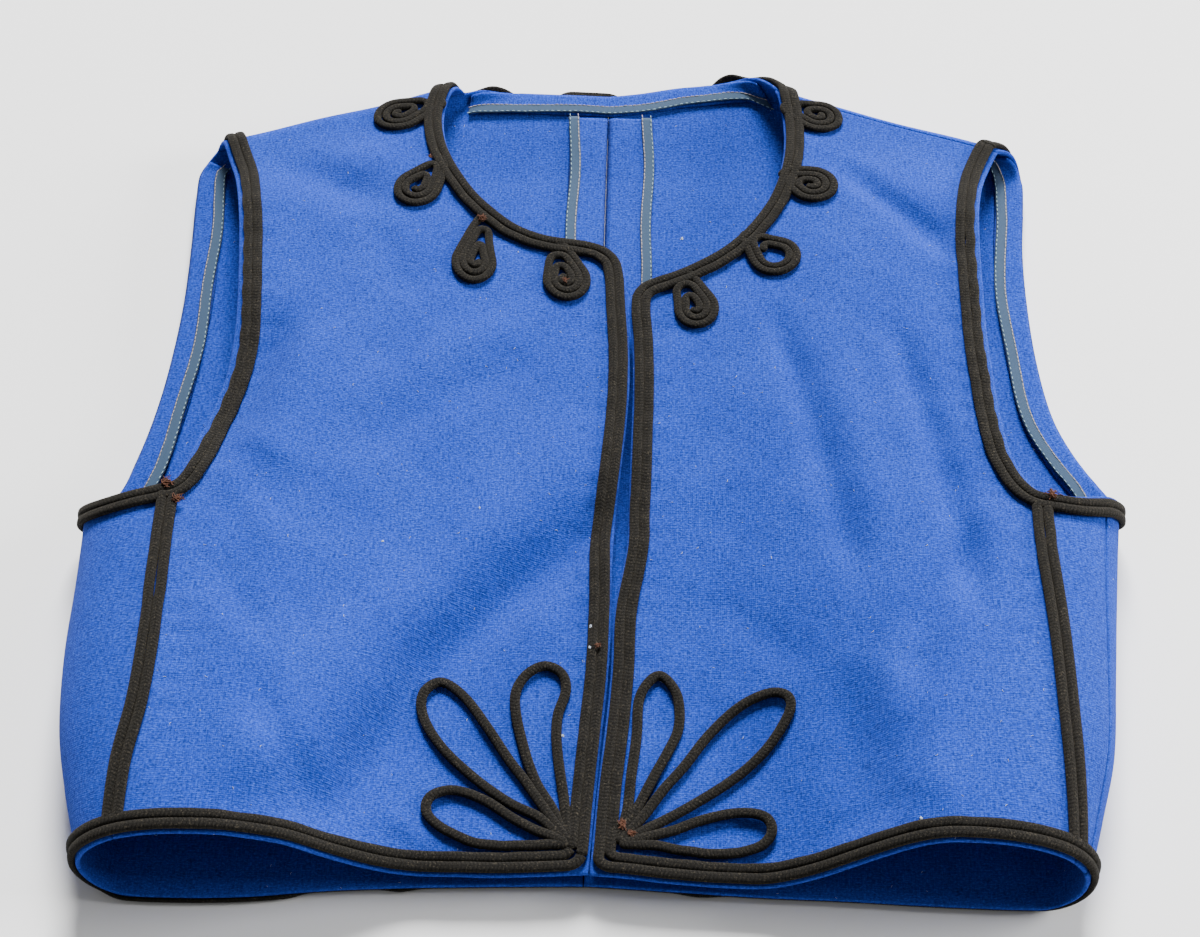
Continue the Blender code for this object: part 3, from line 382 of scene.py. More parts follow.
# Tufts of rusty brown thread where cord ends are sewn down.
KNOTS = (
    # layer, side, u, v, size
    (OVER, RIGHT, 0.1714, -0.0335, 0.0043),
    (OVER, RIGHT, 0.1665, -0.0415, 0.0039),
    (OVER, LEFT, 0.1795, -0.0290, 0.0041),
    (OVER, RIGHT, 0.0552, 0.1225, 0.0034),
    (OVER, RIGHT, 0.0800, 0.1560, 0.0015),
    (OVER, RIGHT, 0.0178, 0.0895, 0.0020),
    (OVER, LEFT, 0.0122, -0.1672, 0.0032),
    (OVER, LEFT, 0.0150, -0.1720, 0.0026),
    (OVER, RIGHT, -0.0010, -0.0910, 0.0018),
)

# Where the cords under the back peep out past the cloth's edge.
PEEPS = (
    # layer's edge, x from, x to, how far
    ("neck", -0.0640, -0.0400, 0.0034),
    ("neck", -0.0300, 0.0080, 0.0068),
    ("neck", 0.0410, 0.0640, 0.0044),
    ("hem", -0.1820, -0.1020, 0.0016),
    ("hem", -0.0780, -0.0600, 0.0012),
    ("hem", 0.0300, 0.0520, 0.0010),
)
PEEP_FADE = 0.010

TUFT_THREADS = 16
TUFT_TURNS = 9
TUFT_THREAD_RADIUS = 0.00017
TUFT_SHAPE = (0.34, 0.34, 0.12)
TUFT_PROUD = 0.0004
KNOT_SEED = 40
SPECK_SEED = 70

# Specks of lint caught on the cloth and cords.
LINT_SPECKS = (
    # layer, side, u, v, size
    (OVER, LEFT, 0.0200, 0.0310, 0.0011),
    (OVER, LEFT, 0.0136, 0.0560, 0.0008),
    (OVER, RIGHT, 0.0270, -0.1440, 0.0010),
    (OVER, RIGHT, 0.0110, -0.1310, 0.0007),
    (OVER, RIGHT, 0.0020, -0.0820, 0.0009),
    (OVER, RIGHT, 0.0022, -0.0915, 0.0008),
    (OVER, RIGHT, 0.0850, -0.0510, 0.0007),
    (OVER, RIGHT, 0.0480, -0.0310, 0.0006),
    (OVER, LEFT, 0.1190, -0.1760, 0.0009),
    (UNDER, LEFT, 0.0330, 0.1330, 0.0009),
)
LINT_SCATTER = 2600.0
LINT_LONG = 0.0012
LINT_THICK = 0.00010
LINT_SEED = 5
LINT_SHORTEST = 0.35
LINT_BEND = {"Resolution": 5, "Start": (-0.5, -0.10, 0.05), "Middle": (0.0, 0.35, 0.28),
             "End": (0.5, -0.06, 0.03)}
SPECK_ON_CORD = 0.9 * CORD_HIGH
SLIT_CORDS_REACH = 0.012

# Each panel as cut flat, and what it lies on.
CUTS = (
    # panel, width, length, area, lies on
    ("front_right", 0.190, 0.412, 0.0614, "cloth_back_right"),
    ("front_left", 0.173, 0.400, 0.0553, "cloth_back_left"),
    ("side_right", 0.051, 0.164, 0.0069, "cloth_back_right"),
    ("side_left", 0.029, 0.168, 0.0034, "cloth_back_left"),
    ("back_right", 0.213, 0.417, 0.0772, "floor"),
    ("back_left", 0.237, 0.429, 0.0830, "floor"),
)

# Camera at the photograph's angle, 36 degrees from straight above
CAMERA_AT = np.array((0.01191, -0.58769, 0.80900))
CAMERA_TURN = (math.radians(36.0), 0.0, math.radians(1.6))
CAMERA_LENS = 72.19
CAMERA_SHIFT = (0.00833, 0.00958)
CAMERA_CLIP = 0.05

# Studio
FLOOR_HALF = 3.0
FLOOR_BELOW = 0.0002
SKY_STRENGTH = 0.24
LAMPS = (
    # name, place, size, power
    ("back_light", (0.24, 5.00, 4.00), 2.5, 1520.0),
    ("side_light", (1.60, 0.10, 0.72), 0.7, 38.0),
)

# Colours, in linear light
WOOL = (0.0128, 0.0460, 0.3800)
WOOL_PALE = (0.0450, 0.1130, 0.6050)
WOOL_DEEP = (0.0060, 0.0205, 0.1820)
# Cord colours: the dark one is the cord's own tone and also painted shade between the strands and along the
# middle groove; the pale one is a painted highlight on the strand crests
CORD_DARK_AND_SHADE = (0.0045, 0.0042, 0.0038)
CORD_CREST_HIGHLIGHT = (0.0215, 0.0200, 0.0178)
CORD_FLECK = (0.0950, 0.0800, 0.0560)
TAPE_BLUE = (0.0270, 0.0560, 0.1150)
TAPE_GREEN = (0.0520, 0.0850, 0.1280)
CREAM = (0.4200, 0.3600, 0.3500)
CYAN = (0.2900, 0.4300, 0.4800)
RUST = (0.0920, 0.0336, 0.0160)
LINT = (0.5000, 0.5600, 0.6600)
FLOOR = (0.940, 0.940, 0.940)

# Colours laid over a base one after the other, each where its mask is strong.
WOOL_LAYERS = (
    # mask, none at, full at, colour
    ("Threads", -0.60, 0.70, WOOL),
    ("Slubs", 0.58, 0.38, WOOL_DEEP),
    ("Nap", 0.46, 0.74, WOOL_PALE),
)
CORD_LAYERS = (
    # Pale on the strand crests and dark between them: painted highlight and painted shade over the plait's
    # relief
    ("Strands", 0.0, 1.3, CORD_CREST_HIGHLIGHT),
    # Painted shade along the middle groove of the cord
    ("Middle", 0.45, 0.95, CORD_DARK_AND_SHADE),
    ("Flecks", 0.57, 0.76, CORD_FLECK),
    ("Fibres", 0.60, 0.35, CORD_DARK_AND_SHADE),
)
TAPE_LAYERS = (("Threads", 0.2, 0.8, TAPE_GREEN),)
WORN_DARK = (0.88, 0.90, 0.94)
WORN_PALE = (1.10, 1.08, 1.05)
WORN_SPAN = (0.35, 0.75)
TWIST_SPAN = (0.35, 0.60)
THREAD_SHADE = 0.6
FLOOR_SHADE = 0.99

# Roughness, specular level, sheen, and the sheen's roughness and tint
WOOL_SHINE = (0.95, 0.04, 0.03, 0.6, (0.75, 0.82, 1.0))
CORD_SHINE = (0.85, 0.06, 0.05, 0.5, (0.9, 0.8, 0.65))
TAPE_SHINE = (0.9, 0.10, 0.08)
THREAD_SHINE = (0.8, 0.15, 0.08)
FLOOR_SHINE = (0.95, 0.10, 0.0)

# Depths of the fine relief, in the order in which it is laid on
WOOL_RELIEF = {"Threads": 0.00008, "Slubs": 0.00020, "Nap": 0.00014}
CORD_RELIEF = {"Strands": 0.00010, "Fibres": 0.00022}
TAPE_RELIEF = {"Threads": 0.00012}
THREAD_RELIEF = 0.0001

# Patterns per metre, with their detail and roughness, and how they are stretched
NAP = (900.0, 4.0, 0.62, (1.0, 1.6, 1.0))
LONG_SLUBS = (1250.0, 2.0, 0.5, (1.0, 0.16, 1.0))
CROSS_SLUBS = (1250.0, 2.0, 0.5, (0.16, 1.0, 1.0))
MOTTLE = (34.0, 3.0, 0.55)
FIBRES = (3200.0, 3.0, 0.6, (0.35, 1.0, 1.0))
FLECKS = (1500.0, 2.0, 0.5)
TWIST = 1800.0
PAPER = 3.0
THREAD_WANDER = 260.0
WOOL_WEAVE = {"Spacing": 0.0008, "Waver": 0.00035}
TAPE_WEAVE = {"Spacing": 0.0005, "Waver": 0.0001}


def through(table, column):
    """Smooth curve through one column of a table, over the table's first column."""
    rows = np.array(table, float)
    places, values = rows[:, 0], rows[:, column]
    order = np.arange(len(rows))
    low, high = np.maximum(order - 1, 0), np.minimum(order + 1, len(rows) - 1)
    slopes = (values[high] - values[low]) / (places[high] - places[low])

    def value(place):
        place = np.clip(place, places[0], places[-1])
        i = np.clip(np.searchsorted(places, place, side="right") - 1, 0, len(places) - 2)
        span = places[i + 1] - places[i]
        t = (place - places[i]) / span
        near = (1 + 2 * t) * (1 - t) ** 2 * values[i] + t * (1 - t) ** 2 * span * slopes[i]
        far = t * t * (3 - 2 * t) * values[i + 1] - t * t * (1 - t) * span * slopes[i + 1]
        return near + far

    return value


def by_side(table, first_column):
    """The same for a table with one column for each side."""
    return {RIGHT: through(table, first_column), LEFT: through(table, first_column + 1)}


HALF_WIDE = by_side(TUBE, 1)
SIDE_HIGH = through(TUBE, 3)
MIDDLE_HIGH = through(TUBE, 4)
RISE_FROM = through(TUBE, 5)
RISE_TO = through(TUBE, 6)
UPPER_ROLL = through(TUBE, 7)
SHOULDER_AT = by_side(SHOULDER_LINE, 1)
SEAM_TURN = by_side(BACK_SEAM_TURN, 1)
FRONT_EDGE_AT = by_side(FRONT_EDGE, 1)
FRONT_HEM = by_side(HEM, 1)
BACK_HEM = by_side(HEM, 3)
SIDE_SEAM_AT = by_side(SIDE_SEAM, 1)


def ease(t):
    """0 to 1 with level ends."""
    return (1 - np.cos(np.pi * np.clip(t, 0.0, 1.0))) / 2


def quarter(wide, high):
    """Length of a quarter of an ellipse with these half axes."""
    inner = 3 * (wide + high) - np.sqrt((3 * wide + high) * (wide + 3 * high))
    return math.pi / 4 * inner


def fold_height(x, y):
    """Height that folds, creases and slow waves add to the upper layer."""
    total = np.zeros(np.shape(x))
    for x0, y0, x1, y1, half, high in FOLDS + CREASES:
        run_x, run_y = x1 - x0, y1 - y0
        long = math.hypot(run_x, run_y)
        along = ((x - x0) * run_x + (y - y0) * run_y) / (long * long)
        across = ((x - x0) * run_y - (y - y0) * run_x) / long
        ends = ease((along + FOLD_FADE) / (2 * FOLD_FADE)) * ease((1 + FOLD_FADE - along) / (2 * FOLD_FADE))
        total = total + high * ends * np.exp(-((across / half) ** 2))
    for length, direction, high, start in WAVES:
        turn = math.radians(direction)
        run = x * math.cos(turn) + y * math.sin(turn)
        total = total + high * np.sin(math.tau * run / length + start)
    return total


def shoulder_start(side, u):
    """Level at which the cloth starts to roll over the shoulder."""
    return SHOULDER_AT[side](u) - SHOULDER_ROLL


def nearest_edge(edges, u, v):
    """Distance to the nearest point of some edges, and the run at that point."""
    flat_u, flat_v = np.ravel(u), np.ravel(v)
    gaps = np.empty(len(flat_u))
    runs = np.empty(len(flat_u))
    at_once = 4000
    for start in range(0, len(flat_u), at_once):
        part = slice(start, start + at_once)
        away_u = edges[:, 0][None, :] - flat_u[part, None]
        away = np.hypot(away_u, edges[:, 1][None, :] - flat_v[part, None])
        closest = away.argmin(axis=1)
        gaps[part] = away[np.arange(len(closest)), closest]
        runs[part] = edges[closest, 2]
    return gaps.reshape(np.shape(u)), runs.reshape(np.shape(u))


def pucker(side, u, v):
    """Small ripples where the cloth is drawn in along the cords of the upper layer."""
    gap, run = nearest_edge(OVER_EDGES[side], u, v)
    beside = np.exp(-((gap - BAND_WIDE) / PUCKER_REACH) ** 2) * (gap > BAND_WIDE * 0.5)
    wander = PUCKER_WANDER * np.sin(run * PUCKER_WANDER_RATE)
    return PUCKER_HIGH * beside * np.sin(math.tau * run / PUCKER_LENGTH + wander)


def over_height(side, u, v):
    """Height of the upper layer's outer face."""
    rise = ease((np.abs(u) - RISE_FROM(v)) / (RISE_TO(v) - RISE_FROM(v)))
    high = MIDDLE_HIGH(v) + (SIDE_HIGH(v) - MIDDLE_HIGH(v)) * rise
    calm = ease((HALF_WIDE[side](v) - UPPER_ROLL(v) - np.abs(u)) / CALM_BESIDE_ROLL)
    high = high + fold_height(side * u, v) * calm
    near = ease((v - shoulder_start(side, u) + SHOULDER_BLEND) / SHOULDER_BLEND)
    return high * (1 - near) + 2 * SHOULDER_ROLL * near + pucker(side, u, v) * (1 - near)


def with_runs(points):
    """The same points with the run along them as a third column."""
    points = np.array(points, float)
    steps = np.hypot(*np.diff(points, axis=0).T)
    return np.column_stack((points, np.concatenate(([0.0], np.cumsum(steps)))))


def under_edge_points(side):
    """Trimmed edges of the under layer, whose cords hold it off the ground."""
    hem = [(u, BACK_HEM[side](u)) for u in np.linspace(*HEM_REACH, 40)]
    neck = smooth_line(NECK_BACK[side] + (shoulder_seam_place(side, UNDER, NECK_TIP[side]),))
    tip = shoulder_seam_place(side, UNDER, ARMHOLE_TIP[side])
    arm = smooth_line(ARMHOLE_BACK[side] + (tip,))
    return with_runs(hem + [neck(t) for t in np.linspace(0, 1, 20)]
                     + [arm(t) for t in np.linspace(0, 1, 50)])


def over_edge_points(side):
    """Trimmed edges of the upper layer."""
    corner = NECK_FRONT[side][0]
    slit = front_edge_line(side, corner[1])
    neck = smooth_line(NECK_FRONT[side])
    arm = smooth_line(ARMHOLE_FRONT[side])
    seam = side_seam_line(side, SIDE_SEAM_TOP[side], 0.0)
    hem = [(u, FRONT_HEM[side](u)) for u in np.linspace(0.0, 0.18, 70)]
    places = hem + [slit(t) for t in np.linspace(0, 1, 110)]
    places += [neck(t) for t in np.linspace(0, 1, 60)]
    places += [arm(t) for t in np.linspace(1, 0, 80)] + [seam(t) for t in np.linspace(1, 0, 60)]
    return with_runs(places)


def under_height(side, u, v):
    """Height of the under layer's outer face, lifted where cords run beneath it."""
    gap, _ = nearest_edge(UNDER_EDGES[side], u, v)
    return UNDER_LIFT * (1 - ease((gap - LIFT_FULL_TO) / (LIFT_NONE_FROM - LIFT_FULL_TO)))


def tube_shape(side, v):
    """Where the side rolls start, their heights and their lengths at one level."""
    wide, high, upper = HALF_WIDE[side](v), SIDE_HIGH(v), UPPER_ROLL(v)
    middle = high * OUTERMOST_SHARE
    runs = quarter(upper, high - middle), quarter(LOWER_ROLL, middle)
    return wide - upper, wide - LOWER_ROLL, high, middle, *runs


def side_roll(side, v, along):
    """Points on the roll round a side, at a run from the top of the roll."""
    upper_at, lower_at, high, middle, upper_run, lower_run = tube_shape(side, v)
    turn = np.clip(along / upper_run, 0, 1) * math.pi / 2
    upper_x = upper_at + UPPER_ROLL(v) * np.sin(turn)
    upper_z = middle + (high - middle) * np.cos(turn)
    turn = (along - upper_run) / lower_run * math.pi / 2
    low = under_height(side, lower_at + upper_run + lower_run - along, v)
    lower_x = lower_at + LOWER_ROLL * np.cos(turn)
    lower_z = middle - (middle - low) * np.sin(turn)
    upper = along <= upper_run
    x, z = np.where(upper, upper_x, lower_x), np.where(upper, upper_z, lower_z)
    return np.stack((side * x, v, z), -1)


def shoulder_roll(side, u, along):
    """Points on the roll over a shoulder, at a run from the top of the roll."""
    start = shoulder_start(side, u)
    turn = along / SHOULDER_ROLL
    top = over_height(side, u, start)
    low = under_height(side, u, start + math.pi * SHOULDER_ROLL - along)
    y = start + SHOULDER_ROLL * np.sin(turn)
    return np.stack((side * u, y, low + (top - low) * (1 + np.cos(turn)) / 2), -1)


def surface(layer, side, u, v):
    """Points of the garment's outer face."""
    u, v = (np.array(a, float) for a in np.broadcast_arrays(u, v))
    upper_at, lower_at, _, _, upper_run, lower_run = tube_shape(side, v)
    start = shoulder_start(side, u)
    past_shoulder = v > start
    if layer == OVER:
        past_side = u > upper_at
        points = np.stack((side * u, v, over_height(side, u, v)), -1)
        over_shoulder, round_side = v - start, u - upper_at
    else:
        past_side = u > lower_at
        points = np.stack((side * u, v, under_height(side, u, v)), -1)
        over_shoulder = math.pi * SHOULDER_ROLL - (v - start)
        round_side = upper_run + lower_run - (u - lower_at)
    if past_shoulder.any():
        points[past_shoulder] = shoulder_roll(side, u[past_shoulder], over_shoulder[past_shoulder])
    if past_side.any():
        points[past_side] = side_roll(side, v[past_side], round_side[past_side])
    return points


def slopes_at(layer, side, u, v):
    """How the surface runs for a step in u and in v, and its outward normal."""
    along_u = (surface(layer, side, u + STEP, v) - surface(layer, side, u - STEP, v)) / (2 * STEP)
    along_v = (surface(layer, side, u, v + STEP) - surface(layer, side, u, v - STEP)) / (2 * STEP)
    normal = np.cross(along_u, along_v)
    facing = side if layer == OVER else -side
    return along_u, along_v, facing * normal / np.linalg.norm(normal, axis=-1, keepdims=True)


def smooth_line(points):
    """Smooth curve through (u, v) points, from 0 at the first to 1 at the last."""
    places = with_runs(points)
    table = np.column_stack((places[:, 2] / places[-1, 2], places[:, 0], places[:, 1]))
    along_u, along_v = through(table, 1), through(table, 2)
    return lambda t: (float(along_u(t)), float(along_v(t)))


def joined(first, second, split):
    """Two curves end to end, the second starting at the split."""
    def line(t):
        if t <= split:
            return first(t / split)
        return second((t - split) / (1 - split))
    return line


def shoulder_seam_place(side, layer, u, gap=0.0):
    """Pattern place of the shoulder seam on one of the two layers."""
    turn = math.radians(SHOULDER_SEAM_TURN[side])
    if layer == UNDER:
        turn = math.pi - turn
    return u, float(shoulder_start(side, u)) + SHOULDER_ROLL * turn - gap


def back_seam_place(side, layer, v):
    """Pattern distance out to the seam between the side piece and the back."""
    upper_at, lower_at, _, _, upper_run, lower_run = tube_shape(side, v)
    turn = SEAM_TURN[side](v) / 90
    along = upper_run * min(turn, 1.0) + lower_run * max(turn - 1.0, 0.0)
    if layer == OVER:
        return float(upper_at + along)
    return float(lower_at + upper_run + lower_run - along)


def front_edge_line(side, top):
    """Slit edge of a front, from the hem up."""
    hem = float(FRONT_HEM[side](side * FRONT_EDGE_AT[side](HEM_LEVEL)))

    def line(t):
        v = hem + (top - hem) * t
        return side * float(FRONT_EDGE_AT[side](v)), v
    return line


def neck_front_line(side):
    """Front neck edge from the slit's corner up to the shoulder seam."""
    tip = shoulder_seam_place(side, OVER, NECK_TIP[side], SEAM_GAP / 2)
    return smooth_line(NECK_FRONT[side] + (tip,))


def neck_back_line(side):
    """Back neck edge from the centre seam out to the shoulder seam."""
    tip = shoulder_seam_place(side, UNDER, NECK_TIP[side], SEAM_GAP / 2)
    return smooth_line(NECK_BACK[side] + (tip,))


def armhole_front_line(side):
    """Front armhole edge from the side seam up to the shoulder seam."""
    top = SIDE_SEAM_TOP[side]
    start = (float(SIDE_SEAM_AT[side](top)) - SEAM_GAP / 2, top)
    tip = shoulder_seam_place(side, OVER, ARMHOLE_TIP[side], SEAM_GAP / 2)
    return smooth_line((start,) + ARMHOLE_FRONT[side] + (tip,))


def armhole_back_line(side):
    """Back armhole edge from the side piece up to the shoulder seam."""
    top = BACK_SEAM_TOP[side]
    start = (back_seam_place(side, UNDER, top) - SEAM_GAP / 2, top)
    end = shoulder_seam_place(side, UNDER, ARMHOLE_TIP[side], SEAM_GAP / 2)
    return smooth_line((start,) + ARMHOLE_BACK[side] + (end,))


def shoulder_line(side, layer):
    """Shoulder seam from the neck out."""
    def line(t):
        u = NECK_TIP[side] + (ARMHOLE_TIP[side] - NECK_TIP[side]) * t
        return shoulder_seam_place(side, layer, u, SEAM_GAP / 2)
    return line


def side_seam_line(side, top, shift):
    """Seam between a front and its side piece, from the hem up."""
    hem = float(FRONT_HEM[side](SIDE_SEAM_AT[side](HEM_LEVEL)))

    def line(t):
        v = hem + (top - hem) * t
        return float(SIDE_SEAM_AT[side](v)) + shift, v
    return line


def back_seam_line(side, layer):
    """Seam between a side piece and the back, from the hem up."""
    hem_at = FRONT_HEM[side] if layer == OVER else BACK_HEM[side]
    hem = float(hem_at(back_seam_place(side, layer, HEM_LEVEL)))

    def line(t):
        v = hem + (BACK_SEAM_TOP[side] - hem) * t
        return back_seam_place(side, layer, v) - SEAM_GAP / 2, v
    return line


def hem_line(hem_at, inner_u, outer_u):
    """Hem of a panel from its inner edge out."""
    def line(s):
        u = inner_u + (outer_u - inner_u) * s
        return u, float(hem_at(u))
    return line


UNDER_EDGES = {side: under_edge_points(side) for side in (RIGHT, LEFT)}
OVER_EDGES = {side: over_edge_points(side) for side in (RIGHT, LEFT)}


def patch(edges, across, along):
    """(u, v) grid of a panel between its inner, outer, bottom and top edge curves."""
    inner, outer, bottom, top = edges
    s, t = np.array(across)[None, :, None], np.array(along)[:, None, None]
    near = np.array([inner(x) for x in along])[:, None, :]
    far = np.array([outer(x) for x in along])[:, None, :]
    low = np.array([bottom(x) for x in across])[None, :, :]
    high = np.array([top(x) for x in across])[None, :, :]
    corners = (low[:, :1], low[:, -1:], high[:, :1], high[:, -1:])
    square = ((1 - s) * (1 - t) * corners[0] + s * (1 - t) * corners[1]
              + (1 - s) * t * corners[2] + s * t * corners[3])
    return (1 - s) * near + s * far + (1 - t) * low + t * high - square


def front_edges(side):
    """Inner, outer, bottom and top edge of a front."""
    corner = NECK_FRONT[side][0]
    inner = joined(front_edge_line(side, corner[1]), neck_front_line(side), SLIT_SHARE)
    side_seam = side_seam_line(side, SIDE_SEAM_TOP[side], -SEAM_GAP / 2)
    outer = joined(side_seam, armhole_front_line(side), SIDE_SEAM_SHARE)
    bottom = hem_line(FRONT_HEM[side], inner(0)[0], outer(0)[0])
    return inner, outer, bottom, shoulder_line(side, OVER)


def back_edges(side):
    """Inner, outer, bottom and top edge of a back panel."""
    seam_u = side * CENTRE_SEAM_X + SEAM_GAP / 2
    neck = neck_back_line(side)

    def inner(t):
        low, high = float(BACK_HEM[side](seam_u)), neck(0)[1]
        return seam_u, low + (high - low) * t

    outer = joined(back_seam_line(side, UNDER), armhole_back_line(side), BACK_SEAM_SHARE)
    bottom = hem_line(BACK_HEM[side], seam_u, outer(0)[0])
    return inner, outer, bottom, joined(neck, shoulder_line(side, UNDER), BACK_NECK_SHARE)


def side_top_line(side):
    """Top of a side piece below the armhole, which dips in the middle."""
    inner_v, outer_v = SIDE_SEAM_TOP[side], BACK_SEAM_TOP[side]
    inner_u = float(SIDE_SEAM_AT[side](inner_v)) + SEAM_GAP / 2
    outer_u = back_seam_place(side, OVER, outer_v) - SEAM_GAP / 2
    middle = ((inner_u + outer_u) / 2, (inner_v + outer_v) / 2 - UNDERARM_DIP[side])
    return smooth_line(((inner_u, inner_v), middle, (outer_u, outer_v)))


def side_edges(side):
    """Inner, outer, bottom and top edge of a side piece."""
    inner = side_seam_line(side, SIDE_SEAM_TOP[side], SEAM_GAP / 2)
    outer = back_seam_line(side, OVER)
    bottom = hem_line(FRONT_HEM[side], inner(0)[0], outer(0)[0])
    return inner, outer, bottom, side_top_line(side)


def placed(name, data):
    """Object at the origin for data whose points are already in their place."""
    item = bpy.data.objects.new(name, data)
    bpy.context.scene.collection.objects.link(item)
    return item


def smooth_piece(name, mesh):
    """Smoothly shaded object for a finished mesh."""
    mesh.polygons.foreach_set("use_smooth", [True] * len(mesh.polygons))
    return placed(name, mesh)


def new_piece(name, mesh, material):
    """The same for a mesh that still lacks its material."""
    mesh.materials.append(material)
    return smooth_piece(name, mesh)


def made_plain(source, name):
    """Mesh of an object as its modifiers or bevel leave it; the object goes."""
    evaluated = source.evaluated_get(bpy.context.evaluated_depsgraph_get())
    mesh = bpy.data.meshes.new_from_object(evaluated)
    mesh.name = name
    bpy.data.objects.remove(source)
    return mesh


def mesh_from(name, points, faces, spread):
    """Closed mesh with its faces turned outwards and a UV map of cloth distances in metres."""
    builder = bmesh.new()
    corners = [builder.verts.new(point) for point in points]
    layer = builder.loops.layers.uv.new("cut")
    for ring in faces:
        face = builder.faces.new([corners[i] for i in ring])
        for loop, i in zip(face.loops, ring):
            loop[layer].uv = spread[i]
    bmesh.ops.recalc_face_normals(builder, faces=builder.faces)
    mesh = bpy.data.meshes.new(name)
    builder.to_mesh(mesh)
    builder.free()
    return mesh


def grid_faces(rows, columns, first, flip):
    """Faces of a grid of points whose first one is given."""
    faces = []
    for j in range(rows - 1):
        start = first + j * columns
        for i in range(start, start + columns - 1):
            ring = (i, i + 1, i + columns + 1, i + columns)
            faces.append(ring[::-1] if flip else ring)
    return faces


def rim_order(rows, columns):
    """Grid indices once round the border."""
    ring = [i for i in range(columns)]
    ring += [j * columns + columns - 1 for j in range(1, rows)]
    ring += [(rows - 1) * columns + i for i in range(columns - 2, -1, -1)]
    ring += [j * columns for j in range(rows - 2, 0, -1)]
    return np.array(ring)


def rim_reach(grid, ring):
    """Pattern direction out of the panel at each place of its border."""
    reach = np.zeros_like(grid)
    reach[0] += grid[0] - grid[1]
    reach[-1] += grid[-1] - grid[-2]
    reach[:, 0] += grid[:, 0] - grid[:, 1]
    reach[:, -1] += grid[:, -1] - grid[:, -2]
    reach = reach.reshape(-1, 2)[ring]
    return reach / np.linalg.norm(reach, axis=1, keepdims=True)


def cloth_panel(name, layer, side, edges, cells, material):
    """Thin closed shell of a panel with rounded edges."""
    columns, rows = cells[0] + 1, cells[1] + 1
    grid = patch(edges, np.linspace(0, 1, columns), np.linspace(0, 1, rows))
    u, v = grid[..., 0], grid[..., 1]
    outer = surface(layer, side, u, v) - MIDDLE
    normal = slopes_at(layer, side, u, v)[2]
    inward = np.zeros_like(outer)
    inward[0] += outer[1] - outer[0]
    inward[-1] += outer[-2] - outer[-1]
    inward[:, 0] += outer[:, 1] - outer[:, 0]
    inward[:, -1] += outer[:, -2] - outer[:, -1]
    ring = rim_order(rows, columns)
    size = rows * columns
    outer, normal, inward = (a.reshape(size, 3) for a in (outer, normal, inward))
    spread = grid.reshape(size, 2)
    border = inward[ring]
    border -= normal[ring] * np.sum(border * normal[ring], axis=1, keepdims=True)
    border /= np.linalg.norm(border, axis=1, keepdims=True)
    round_off = CLOTH_THICK / 2
    edge = outer[ring].copy()
    outer[ring] += border * round_off
    inner = outer - normal * CLOTH_THICK
    outward = rim_reach(grid, ring)
    loops, rim_spread = [], []
    for turn in RIM_TURNS:
        angle = math.radians(turn)
        out = round_off * (1 - math.cos(angle)) * border
        loops.append(edge + out - normal[ring] * round_off * (1 - math.sin(angle)))
        rim_spread.append(spread[ring] + outward * round_off * (math.pi / 2 - angle))
    points = np.concatenate([outer, inner] + loops)
    uv = np.concatenate([spread, spread] + rim_spread)
    faces = grid_faces(rows, columns, 0, False) + grid_faces(rows, columns, size, True)
    count = len(ring)
    rims = [2 * size + k * count + np.arange(count) for k in range(len(loops))]
    courses = [ring] + rims + [ring + size]
    for near, far in zip(courses, courses[1:]):
        for i in range(count):
            j = (i + 1) % count
            faces.append((int(near[i]), int(far[i]), int(far[j]), int(near[j])))
    return new_piece(name, mesh_from(name, points.tolist(), faces, uv.tolist()), material)


class Guide:
    """Places along a trim, close together, each with the cloth's directions there."""

    def __init__(self, stretches, closed=False):
        self.parts = []
        self.closed = closed
        for layer, side, line, start, end in stretches:
            rough = np.array([line(t) for t in np.linspace(start, end, 60)])
            steps = np.diff(surface(layer, side, *rough.T), axis=0)
            run = float(np.linalg.norm(steps, axis=1).sum())
            count = max(int(run / GUIDE_RUN), 4)
            places = np.array([line(t) for t in np.linspace(start, end, count)])
            self.parts.append((layer, side, places))
        points = np.concatenate([surface(layer, side, *places.T) for layer, side, places in self.parts])
        self.heading = self.turned(points)
        self.starts = np.cumsum([0] + [len(places) for _, _, places in self.parts])

    def turned(self, points):
        """Heading at each point, taken over a few points before and after it."""
        if self.closed:
            heading = np.roll(points, -GUIDE_LOOK, axis=0) - np.roll(points, GUIDE_LOOK, axis=0)
        else:
            first, last = points[:1].repeat(GUIDE_LOOK, 0), points[-1:].repeat(GUIDE_LOOK, 0)
            padded = np.concatenate((first, points, last))
            heading = padded[2 * GUIDE_LOOK:] - padded[:-2 * GUIDE_LOOK]
        return heading / np.linalg.norm(heading, axis=1, keepdims=True)

    def beside(self, sideways, out):
        """Points beside the guide, sideways along the cloth and then off it, with normals."""
        points, normals = [], []
        for (layer, side, places), first in zip(self.parts, self.starts):
            u, v = places.T
            part = slice(first, first + len(places))
            along_u, along_v, normal = slopes_at(layer, side, u, v)
            across = np.cross(normal, self.heading[part])
            across /= np.linalg.norm(across, axis=1, keepdims=True)
            uu, uv, vv = (np.sum(a * b, axis=1) for a, b in
                          ((along_u, along_u), (along_u, along_v), (along_v, along_v)))
            au, av = np.sum(across * along_u, axis=1), np.sum(across * along_v, axis=1)
            spread = uu * vv - uv * uv
            reach = sideways[part] if np.ndim(sideways) else sideways
            moved_u = u + (au * vv - av * uv) / spread * reach
            moved_v = v + (av * uu - au * uv) / spread * reach
            facing = slopes_at(layer, side, moved_u, moved_v)[2]
            points.append(surface(layer, side, moved_u, moved_v) + facing * out)
            normals.append(facing)
        return np.concatenate(points) - MIDDLE, np.concatenate(normals)

    def count(self):
        """Number of places along the guide."""
        return int(self.starts[-1])


